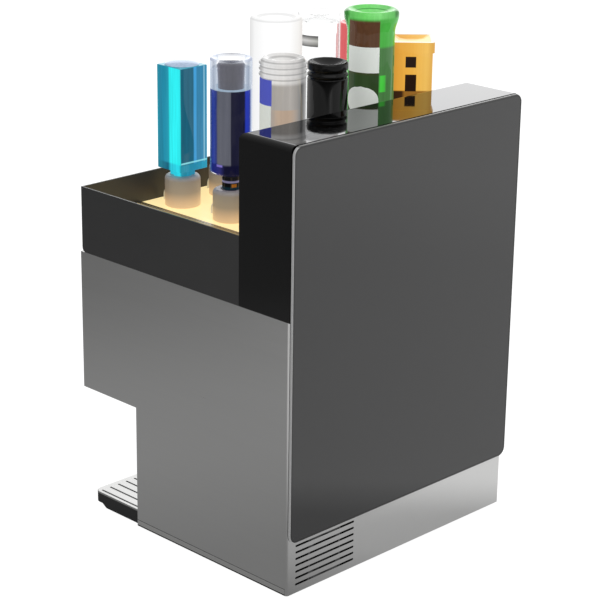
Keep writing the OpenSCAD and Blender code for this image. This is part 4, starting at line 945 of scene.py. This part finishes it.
def round_bottle(stem, liquid, finishes, size, neck, body, level, outside, body_r=None, punt=10 * MM):
    """One round bottle with its drink, on the axis of its CAD node. Its size is the greatest
    radius and the top; top, neck, body and level are heights for up()."""
    node = stem + "_bottle"
    centre, mouth = place_of(node)
    radius, top = size[0] * MM, up(size[1])
    body_r = body_r or radius
    outer, hollow, inner = glass_profile(body_r, mouth, up(neck), up(body), top, outside(radius, top), punt)
    piece = mesh_piece(stem + "_glass", *glass_mesh(outer, hollow, inner, centre), finishes[0], node)
    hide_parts(node)
    drink = mesh_piece(stem + "_drink", *liquid_mesh(body_r, mouth, up(neck), up(body), up(level), centre),
                       finishes[1], node)
    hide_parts(liquid)
    return centre


def plain_base(edge):
    """A straight body that ends in a rounded base edge."""
    def outside(radius, top):
        return arc(radius - edge, top - edge, edge, 0, 90)
    return outside


def ringed_base(radius, top):
    """Three round rings below a small rounded cap."""
    body = radius - 2.5 * MM
    z0 = top - 34 * MM
    rings = [arc(body, z0 + (k + 0.5) * 10 * MM, 2.5 * MM, -80, 80, 9) for k in range(3)]
    return np.vstack(rings + [arc(body - 6.5 * MM, top - 4 * MM, 4 * MM, 0, 90)])


def stepped_base(radius, top):
    """A small step in, a little below the base."""
    return np.vstack([[[radius, top - 25 * MM], [radius - 3 * MM, top - 22 * MM]],
                      arc(radius - 7 * MM, top - 4 * MM, 4 * MM, 0, 90)])


def grooved_base(radius, top):
    """Two grooves with a rounded ring between them and a rounded rim on top."""
    def turn(inset, drop, bend, start, stop):
        return arc(radius - inset * MM - bend * MM, top - drop * MM, bend * MM, start, stop)
    return np.vstack([[[radius - 0.5 * MM, top - 30 * MM]], turn(0.5, 32, 2, 30, 80),
                      [[radius - 2.6 * MM, top - 28.5 * MM]], turn(0, 23, 3.4, -70, 70),
                      [[radius - 3.4 * MM, top - 16.5 * MM]], turn(0, 11.5, 3.4, -60, 0),
                      turn(0, 4, 4, 0, 90)])


def flared_base(radius, top):
    """A foot that swells out like a bell and rounds over."""
    return np.vstack([swell(radius - 6.5 * MM, top - 41 * MM, radius, top - 10 * MM),
                      arc(radius - 8 * MM, top - 8 * MM, 8 * MM, 0, 90)])


blue = round_bottle("round_blue", "blue_liquid", (blue_wall(), navy_drink()), (37.5, 242), neck=25, body=37,
                    level=187, outside=plain_base(4 * MM))
# the form of painted shade inside the empty upper glass
CAVITY = [[0, up(187.5)], [24 * MM, up(187.5)], [24.5 * MM, up(228)], [22 * MM, up(231)], [0, up(231)]]
mesh_piece("round_blue_hollow_painted_shade", *turned(CAVITY, blue), blue_hollow_painted_shade(), "round_blue_bottle")
SLEEVE = np.vstack([[[16.2 * MM, SEAT], [16.2 * MM, up(25)]], arc(13 * MM, up(34), 4 * MM, -20, 20)])
mesh_piece("round_blue_neck", *turned(SLEEVE, blue), dark_neck(), "round_blue_bottle")
round_bottle("frosted", "frosted_liquid", (frosted_wall(), MILK), (47, 301), neck=17, body=121, level=243,
             outside=plain_base(7 * MM))
ringed = round_bottle(
    "ringed", "ringed_liquid", (pale_glass(), WATER), (42, 263), neck=17, body=60, level=214,
    outside=ringed_base, body_r=39.5 * MM)
clear = round_bottle(
    "clear", "clear_liquid", (clear_wall(), WATER), (39, 296), neck=17, body=73, level=241,
    outside=plain_base(5 * MM))
round_bottle("red", "red_liquid", (rose_wall(), RED), (41.5, 262), neck=17, body=60, level=215,
             outside=stepped_base)
round_bottle("black", "black_liquid", (NIGHT, BROWN), (36.25, 240), neck=17, body=49, level=193,
             outside=grooved_base)
green = round_bottle(
    "green", "green_liquid", (green_wall(), BROWN), (49.25, 319), neck=17, body=85, level=300,
    outside=flared_base, body_r=42.75 * MM, punt=12 * MM)


def square_bottle(stem, liquid, finishes, width, corner, turn, collar, slope, body, top, level, rim=None,
                  dish=0):
    """A square bottle: round neck, square collar, sloping shoulder and a tall body. Body, top and
    level are heights for up(); rim is (height, how much wider) of a wider end and dish the depth
    of a hollow in it."""
    node = stem + "_bottle"
    centre, mouth = place_of(node)

    def square(w, r=corner):
        return rounded_square(w, min(r, w / 2 - 0.1 * MM), turn)

    def skin(inset, end, hollow):
        w = width - 2 * inset
        neck = square((NECK_R if inset == 0 else BORE_R) * 2, 90 * MM)
        sections = [(neck, mouth), (neck, SEAT - 0.1 * MM)]
        if inset == 0:
            sections += [(square(collar), SEAT), (square(collar), up(body - slope) - 0.2 * MM),
                         (square(collar + 4 * MM), up(body - slope))]
        else:
            sections += [(neck, up(body))]
        sections += [(square(w - 1 * MM), up(body) + inset - 0.5 * MM), (square(w), up(body) + inset)]
        wide = w
        if rim and inset == 0:
            wide = w + 2 * rim[1]
            sections += [(square(w), end - rim[0] - 0.1 * MM), (square(wide), end - rim[0])]
        sections += [(square(wide), end - 0.8 * MM), (square(wide - 1.6 * MM), end)]
        if hollow:
            sections += [(square(wide - 9 * MM), end), (square(wide * 0.6), end - hollow * 0.8),
                         (square(wide * 0.2), end - hollow)]
        return lofted(sections, centre)

    end = up(top)
    piece = mesh_piece(stem + "_glass", *joined(skin(0, end, dish),
                                                inside_out(skin(WALL, end - 2 * WALL - dish, 0))),
                       finishes[0], node)
    piece.modifiers.new("edges", "EDGE_SPLIT").split_angle = math.radians(35)
    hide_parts(node)
    drink = mesh_piece(stem + "_drink", *skin(WALL - OVERLAP, up(level), 0), finishes[1], node)
    drink.modifiers.new("edges", "EDGE_SPLIT").split_angle = math.radians(35)
    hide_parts(liquid)
    return centre


CYAN = cyan_glass()
cyan = square_bottle("square_blue", "square_liquid", (CYAN, WATER), width=64.5 * MM, corner=1.5 * MM, turn=0,
                     collar=33 * MM, slope=2, body=16.5, top=208, level=198)
share = np.linspace(0, 1, 14)
dome_line = np.stack([32 * MM * np.cos(share * math.pi / 2),
                      up(207.8) + 7.7 * MM * np.sin(share * math.pi / 2)], 1)
dome_line[-1, 0] = 0
mesh_piece("square_blue_dome", *turned(np.vstack([[[0, up(207.8)]], dome_line]), cyan), CYAN,
           "square_blue_bottle")
square_bottle("amber", "amber_liquid", (amber_wall(), HONEY), width=74 * MM, corner=6 * MM, turn=45,
              collar=46 * MM, slope=8, body=73, top=251, level=232, rim=(20 * MM, 3 * MM), dish=6 * MM)


# -------- labels, plain and generic

def paper(name, colour):
    """Printed paper, with a painted glow as emission, as if lit from behind through the glass."""
    paint = Paint(name)
    fibre = paint.noise(1500.0, 2.0)
    paint.set(Base_Color=paint.mix(fibre, scaled(colour, 0.9), colour), Roughness=0.55,
              Emission_Color=colour, Emission_Strength=0.35)
    return paint.bump(fibre, 0.1, 0.00005).material


def foil(name, low, high):
    """A silver strip, with the light of a rolled one painted up it: painted shade at its upper and lower
    edge, a painted highlight between.
    """
    paint = Paint(name)
    rise = (paint.place()[1][2] - low) / (high - low)
    paint.set(Base_Color=paint.ramp(rise, [
        (0.0, grey(0.10)), (0.25, grey(0.45)), (0.55, grey(0.80)), (0.8, grey(0.35)),
        (1.0, grey(0.06))]), Roughness=0.35 + (paint.noise(300.0) - 0.5) * 0.1)
    return paint.material


def patch(name, centre, radius, left, right, low, high, material, body, corner=0.0):
    """A label given by the shares of the radius it spans as the front is seen, and its heights."""
    first, last = (math.degrees(FACING + math.asin(v)) for v in (left, right))
    round_patch(name, centre, radius, (first + last) / 2, last - first, up(low), up(high), material, body,
                corner=corner)


WHITE_PAPER = paper("white_paper", (0.72, 0.76, 0.72))
BLUE_PAPER = paper("blue_paper", (0.07, 0.09, 0.52))
patch("green_label_upper", green, 42.8 * MM, -0.92, 0.33, 211, 257, WHITE_PAPER, "green_bottle")
patch("green_label_lower", green, 42.8 * MM, -0.92, 0.33, 134, 186, WHITE_PAPER, "green_bottle", corner=1.0)
patch("ringed_label_upper", ringed, 40.0 * MM, -0.995, -0.47, 184, 229, BLUE_PAPER, "ringed_bottle")
patch("ringed_label_lower", ringed, 40.0 * MM, -0.995, -0.50, 120, 184, WHITE_PAPER, "ringed_bottle")
patch("clear_label", clear, 39.2 * MM, -0.80, -0.04, 237, 257, foil("silver_foil", up(237), up(257)),
      "clear_bottle")
